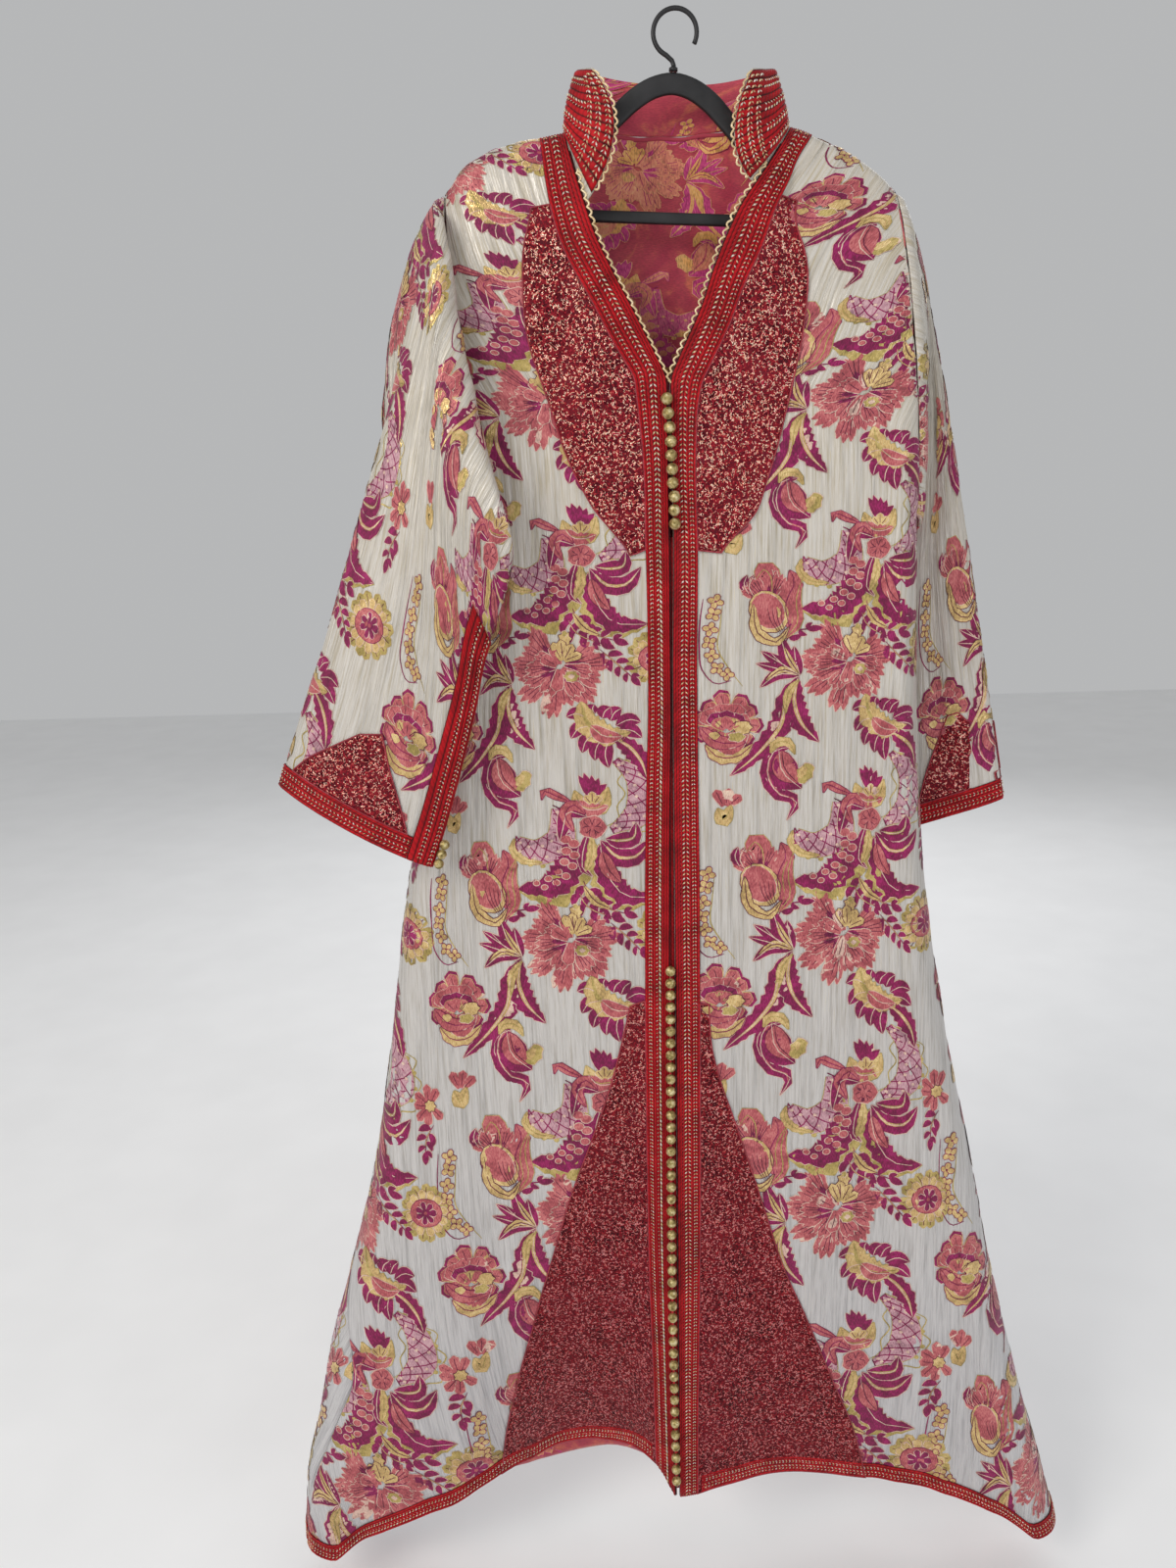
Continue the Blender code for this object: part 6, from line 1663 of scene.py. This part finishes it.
SLIT_CORDS = 7
SLIT_TALL = 235.0
for name, wall, cols, node in (("slit_band_left", arm_l_wall, (0.8, 11.6), "braid_slit_left"),
                               ("slit_band_right", arm_r_wall, (91.2, 80.4), "braid_slit_right")):
    last = wall.grid.shape[0] - 1
    down = wall.v[:, int(cols[0])]
    ends = np.interp((-SLIT_TALL, -0.3), down, np.arange(last + 1))
    rows = np.linspace(ends[0], ends[1], 80)
    band = Ribbon(wall, np.stack([rows, np.full(80, cols[0])], -1), np.stack([rows, np.full(80, cols[1])], -1), 1.6)
    ribbon_piece(name, band, SLIT_CORDS, 6.0, node)
    arrow_row(band, 0.34, SLIT_CORDS)
    arrow_row(band, 0.72, SLIT_CORDS, pitch=4.2, half=1.2, long=2.9, wide=1.3)


# ---- Collar: stand collar of brocade sewn round the neckline, its outside covered with the same corded
# braid; the fronts fold outward like small wings
SEAM_GAP = 0.9
# Place across or height of the seam, then the middle and the top point of the collar over it
COLLAR_FRONT_LEFT = (
    (-165, -45, -40, -108, -63, -24, -52),
    (-143, -60, -37, -102, -68, -16, -50),
    (-122, -76, -24, -92, -72, -7, -48),
    (-108, -85, -10, -80, -75, 1, -47),
)
COLLAR_BACK = (
    (-86, -82, 11, -74, -73, 11, -46),
    (-68, -66, 24, -73, -58, 23, -45),
    (-30, -29, 31, -73, -25, 31, -49),
    (15, 15, 34, -74, 15, 33, -52),
    (60, 59, 31, -74, 55, 31, -52),
    (98, 97, 24, -75, 88, 23, -49),
    (116, 112, 11, -77, 102, 11, -48),
)
COLLAR_FRONT_RIGHT = (
    (-108, 112, -10, -84, 104, 1, -50),
    (-122, 101, -24, -96, 97, -7, -52),
    (-138, 83, -36, -106, 90, -16, -54),
    (-153, 64, -40, -114, 82, -24, -56),
)


def collar_grid(heights):
    """Collar from its left front end round the back to its right front end: quadratic from seam to top."""
    stations = []
    for side, table in ((-1, COLLAR_FRONT_LEFT), (0, COLLAR_BACK), (1, COLLAR_FRONT_RIGHT)):
        for row in table:
            if side:
                z = row[0]
                x = float(edge_x(side, z)) - side * SEAM_GAP
                base = np.array([x, float(front_y(side, x + side * SEAM_GAP, z)), z])
            else:
                x = row[0]
                z = float(shoulder_z(x))
                steep = abs(x - NECK_CENTRE) / NECK_HALF_WIDTH > 0.9
                base = np.array([x, float(back_y(x, z)), z + SEAM_GAP + (4.0 if steep else 1.6)])
            stations.append((base, np.array(row[1:4], float), np.array(row[4:7], float)))
    rows = []
    for h in heights:
        rows.append([b * (1 - h) * (1 - 2 * h) + m * 4 * h * (1 - h) + t * h * (2 * h - 1)
                     for b, m, t in stations])
    return np.array(rows)


COLLAR_CORDS = 12
stations = collar_grid(np.linspace(0.0, 1.0, 17)).transpose(1, 0, 2).reshape(15, 51)
stations = cubic(np.arange(15.0), stations, np.linspace(0, 14, 127)).reshape(127, 17, 3).transpose(1, 0, 2)
collar_points = stations[::-1]
collar_down = along_sleeve(collar_points)
collar_down = collar_down - collar_down[:1] + 46.0
collar_wall = Wall(collar_points, across_length(collar_points), collar_down, (), 0.0)
collar_wall.grid = collar_points
collar_wall.normal = grid_normals(collar_points)
collar_piece = panel_piece("collar_cloth", collar_wall)
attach(collar_piece, "root")
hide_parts("collar")
cols = np.linspace(0.0, 126.0, 200)
band = Ribbon(collar_wall, np.stack([np.full(200, 15.0), cols], -1), np.stack([np.full(200, 0.2), cols], -1), 1.75)
ribbon_piece("collar_band", band, COLLAR_CORDS, 4.0, "braid_collar")
for end in (False, True):
    for away in (5.0, 14.5, 24.0):
        spot = band.long - away if end else away
        tall = np.linalg.norm(band.place(spot, 1.0, 1.0) - band.place(spot, 0.0, 1.0))
        f = np.arange(0.06, 0.96, 4.2 / tall)
        third = np.arange(len(f)) % 3 == 2
        for side in (-1, 1):
            for kind, pick in (("gold", ~third), ("silver", third)):
                stitch(band, np.full(pick.sum(), spot + side * 1.7), f[pick], math.pi / 2 + side * 0.6, COLLAR_CORDS,
                       4.6, 1.7, kind)
for f in (0.14, 0.38, 0.62, 0.86):
    arrow_row(band, f, COLLAR_CORDS, half=1.7, ends=30.0, long=4.4)

gold = cord_material("gold_thread", (0.8, 0.6, 0.32), (0.96, 0.82, 0.56), 0.35, 0.15)
silver = cord_material("silver_thread", (0.9, 0.84, 0.7), (0.98, 0.95, 0.88), 0.35, 0.1)
red_silk = cord_material("red_stitch_silk", (0.5, 0.01, 0.02), (0.66, 0.04, 0.05), 0.45)
for kind, material in (("gold", gold), ("silver", silver), ("red", red_silk)):
    corners = np.concatenate(STITCHES[kind])
    faces = LOZENGE[None] + 5 * np.arange(len(corners))[:, None, None]
    piece = grid_mesh("stitches_" + kind, corners.reshape(-1, 3) + HANG, faces.reshape(-1, 3))
    piece.data.materials.append(material)
    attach(piece, "root")


# ---- Picot: a fine gold cord looped into small scallops and sewn along both edges of the neckline and the
# front edges of the collar
PICOT_PITCH = 8.0
PICOT_WIDE = 3.3
paths = []
for side, wall, outer in ((-1, left_wall, -1.0), (1, right_wall, 1.0)):
    edge = 0.0 if side < 0 else EDGE_AT
    heights = wall.flat[:, int(edge), 2]
    ends = np.interp((135.0, 326.0), -heights, np.arange(len(heights)))
    rows = np.linspace(ends[0], ends[1], 400)
    line = wall.place(rows, np.full(400, edge), 1.7)
    inner = wall.place(rows, np.full(400, edge + outer * 0.5), 1.7) - line
    collar_col = 0.0 if side < 0 else 126.0
    rows2 = np.linspace(0.3, 14.5, 120)
    line2 = collar_wall.place(rows2, np.full(120, collar_col), 1.2)
    inner2 = collar_wall.place(rows2, np.full(120, collar_col + outer * 0.5), 1.2) - line2
    line = np.concatenate([line2, line])
    inner = unit(np.concatenate([inner2, inner]))
    key = running(line)
    s = np.arange(0.0, key[-1], PICOT_PITCH / 8)
    spot = np.stack([np.interp(s, key, line[:, k]) for k in range(3)], -1)
    out = np.stack([np.interp(s, key, inner[:, k]) for k in range(3)], -1)
    paths.append(spot + out * (0.3 + PICOT_WIDE * np.abs(np.sin(math.pi * s / PICOT_PITCH)))[:, None])
cord_piece("gold_picot", paths, 1.05, gold, 5)
weave_flowers("flowers_reverse_collar", collar_wall, 30.0, inside=True)
top_row = back_wall.grid[0]
neck_seam = top_row[(top_row[:, 0] > -88.0) & (top_row[:, 0] < 117.0)] + np.array([0.0, -0.7, 0.4])
neck_seam[:, 2] += 0.7 * np.sin(0.9 * np.arange(len(neck_seam)))
cord_piece("neck_seam", [neck_seam], 2.1, reverse, 8)


# ---- Front edges: the bands' inner edges are folded over a cord, and a plain red facing lies behind the
# opening, sewn inside the left front
BIND_RADIUS = 1.7
BIND_INSET = 1.5
paths = []
for wall, edge, inward in ((left_wall, 0.0, 1.0), (right_wall, EDGE_AT, -1.0)):
    rows = np.linspace(11.0, 180.0, 260)
    step = np.linalg.norm(wall.flat[:, int(edge)] - wall.flat[:, int(edge + inward)], axis=1)
    tall = np.interp(rows, np.arange(len(step)), step)
    paths.append(wall.place(rows, edge + inward * BIND_INSET / tall, 0.2))
cord_piece("edge_binding", paths, BIND_RADIUS, braid_red, 6)
FACING_HALF = 9.0
z = np.linspace(-470.0, -1598.0, 150)[:, None]
x = centre_x(z) + np.linspace(-FACING_HALF, FACING_HALF, 7)[None, :]
middle = centre_x(z)
inner = np.where(x < middle, front_y(-1, np.minimum(x, middle - 0.6), z),
                 front_y(1, np.maximum(x, middle + 0.6), z))
spots = np.stack([x, inner, np.broadcast_to(z, x.shape)], -1)[:, ::-1]
back_way = np.array([0.0, 1.0, 0.0])
uv = np.stack([spots[:, :, 2] * 0.001, spots[:, :, 0] * 0.001], -1)
piece, _ = shell("placket_facing", spots + back_way * 2.0, spots + back_way * 2.9, uv)
piece.data.materials.append(braid_red)
face_out(piece)
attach(piece, "root")


# ---- Buttons: balls knotted from olive gold metal thread, ten close together at the chest, forty-four down
# the skirt on a cord, three at each cuff; the knot's strands cross over and under round the ball
BUTTON_UPPER = 11.7
BUTTON_LOWER = 11.2
BUTTON_CUFF = 10.5
CUFF_PITCH = 10.6
BUTTON_LIFT = 1.85
KNOT_STRANDS = 5
UPPER_BUTTONS = (
    (0, -341), (1, -354.2), (2.4, -367.2), (3.4, -380), (3.6, -392.8), (4.4, -405.6),
    (4.8, -418.4), (6.4, -431.2), (6.2, -444), (6.6, -456.8),
)
ROW_TOP = -922.0
ROW_BOTTOM = -1578.0
ROW_COUNT = 44
ROW_SPREAD = 0.1


def knot_balls(spots, size):
    """Balls whose radius follows two crossing sets of slanting strands, each turned a little from the last."""
    up = np.linspace(0.1, math.pi - 0.1, 11)[:, None]
    turn = np.linspace(0.0, 2 * math.pi, 19)[None, :-1]
    one = np.abs(np.sin(KNOT_STRANDS / 2 * turn + 2.2 * up))
    two = np.abs(np.sin(KNOT_STRANDS / 2 * turn - 2.2 * up + 0.8))
    swell = 0.86 + 0.14 * np.maximum(one, two) ** 0.8
    ball = np.stack([swell * np.sin(up) * np.cos(turn), swell * np.sin(up) * np.sin(turn),
                     swell * np.cos(up) * np.ones_like(turn)], -1).reshape(-1, 3)
    points, faces = [], []
    for k, spot in enumerate(spots):
        a, b = 1.7 * k, 0.5 * math.sin(2.1 * k)
        spin = np.array([[math.cos(a), -math.sin(a), 0], [math.sin(a), math.cos(a), 0], [0, 0, 1]])
        lean = np.array([[1, 0, 0], [0, math.cos(b), -math.sin(b)], [0, math.sin(b), math.cos(b)]])
        points.append(ball @ spin.T @ lean.T * (size / 2) + np.array(spot) + HANG)
        faces.append(quads(11, 18, False, True) + 198 * k)
    return np.concatenate(points), np.concatenate(faces)


button_gold, shader, add, feed = new_material("button_thread", (0.5, 0.4, 0.18), 0.36, 0.5)
here = add("ShaderNodeTexCoord").outputs["Object"]
strand = noise(add, here, 900.0, 3.0)
feed("Base Color", ramp(add, noise(add, here, 240.0), ((0.32, (0.17, 0.12, 0.035)), (0.5, (0.46, 0.36, 0.14)),
                                                       (0.68, (0.78, 0.68, 0.4)))))
feed("Metallic", ramp(add, strand, ((0.35, grey(0.3)), (0.65, grey(0.8)))))
feed("Normal", relief(add, strand, 0.8, 0.0007))


def button_piece(name, spots, size, nodes):
    """Knot buttons as one mesh."""
    piece = grid_mesh(name, *knot_balls(spots, size))
    work = bmesh.new()
    work.from_mesh(piece.data)
    bmesh.ops.holes_fill(work, edges=work.edges, sides=24)
    bmesh.ops.recalc_face_normals(work, faces=work.faces)
    for face in work.faces:
        face.smooth = True
    work.to_mesh(piece.data)
    work.free()
    piece.data.materials.append(button_gold)
    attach(piece, "root")
    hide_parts(*nodes)


spots = []
for x, z in UPPER_BUTTONS:
    y = float(front_y(-1, centre_x(z) - 0.5, z)) - BUTTON_LIFT - BUTTON_UPPER / 2
    spots.append((x, y, z))
button_piece("buttons_chest", spots, BUTTON_UPPER, ["button_chest_%02d" % (k + 1) for k in range(10)])
share = np.arange(ROW_COUNT) / (ROW_COUNT - 1)
z = ROW_TOP + (ROW_BOTTOM - ROW_TOP) * (share + ROW_SPREAD * share * (share - 1))
x = centre_x(z)
y = np.minimum(front_y(-1, x - 0.5, z), front_y(1, x + 0.5, z)) - BUTTON_LIFT - BUTTON_LOWER / 2
spots = np.stack([x, y, z], -1)
button_piece("buttons_skirt", spots, BUTTON_LOWER, ["buttons_skirt_row"])
cord_piece("buttons_skirt_cord", [spots + np.array([0.0, 2.2, 0.0])], 1.3, red_silk, 8)
for name, table, way in (("button_cuff_left", SLEEVE_LEFT, 1.0), ("button_cuff_right", SLEEVE_RIGHT, -1.0)):
    low = ring(table[-1], math.pi)
    along = unit(ring(table[-3], math.pi) - low)
    spots = [low + along * (3.2 + CUFF_PITCH * k) + np.array([way * 7.9, -4.0, 0.0]) for k in range(3)]
    button_piece(name.replace("button_", "buttons_"), spots, BUTTON_CUFF,
                 ["%s_%d" % (name, k + 1) for k in range(3)])


# ---- What hangs from what: flat sizes of the cut cloth that shows, in metres, and the trims sewn on each
SHEETS = (
    ("back_panel", 1.0, 1.62, 1.06, ("hanger_loop",),
     ("flowers_back_upper", "flowers_back_lower", "flowers_reverse_neck", "flowers_reverse_hem", "hem_band_back",
      "neck_seam")),
    ("front_panel_left", 0.5, 1.62, 0.465, ("hanger_loop",),
     ("flowers_front_left", "band_left", "hem_band_left", "edge_binding")),
    ("front_panel_right", 0.52, 1.62, 0.495, ("hanger_loop",),
     ("flowers_front_right", "band_right", "hem_band_right")),
    ("sleeve_cloth_left", 0.41, 0.62, 0.196, ("back_panel", "front_panel_left"),
     ("flowers_sleeve_left", "cuff_band_left", "slit_band_left", "buttons_cuff_left")),
    ("sleeve_cloth_right", 0.38, 0.58, 0.167, ("back_panel", "front_panel_right"),
     ("flowers_sleeve_right", "cuff_band_right", "slit_band_right", "buttons_cuff_right")),
    ("collar_cloth", 0.4, 0.065, 0.0205, ("back_panel", "front_panel_left", "front_panel_right"),
     ("flowers_reverse_collar", "collar_band", "gold_picot")),
    ("glitter_chest_left", 0.09, 0.32, 0.019, ("front_panel_left",), ()),
    ("glitter_chest_right", 0.09, 0.32, 0.0197, ("front_panel_right",), ()),
    ("glitter_skirt_left", 0.17, 0.63, 0.07, ("front_panel_left",), ()),
    ("glitter_skirt_right", 0.17, 0.63, 0.064, ("front_panel_right",), ()),
    ("glitter_sleeve_left", 0.14, 0.08, 0.0062, ("sleeve_cloth_left",), ()),
    ("glitter_sleeve_right", 0.1, 0.1, 0.0062, ("sleeve_cloth_right",), ()),
    ("placket_facing", 0.018, 1.13, None, ("front_panel_left",), ()),
)
for name, wide, long, area, under, trims in SHEETS:
    list(under)
    [bpy.data.objects[trim] for trim in trims]
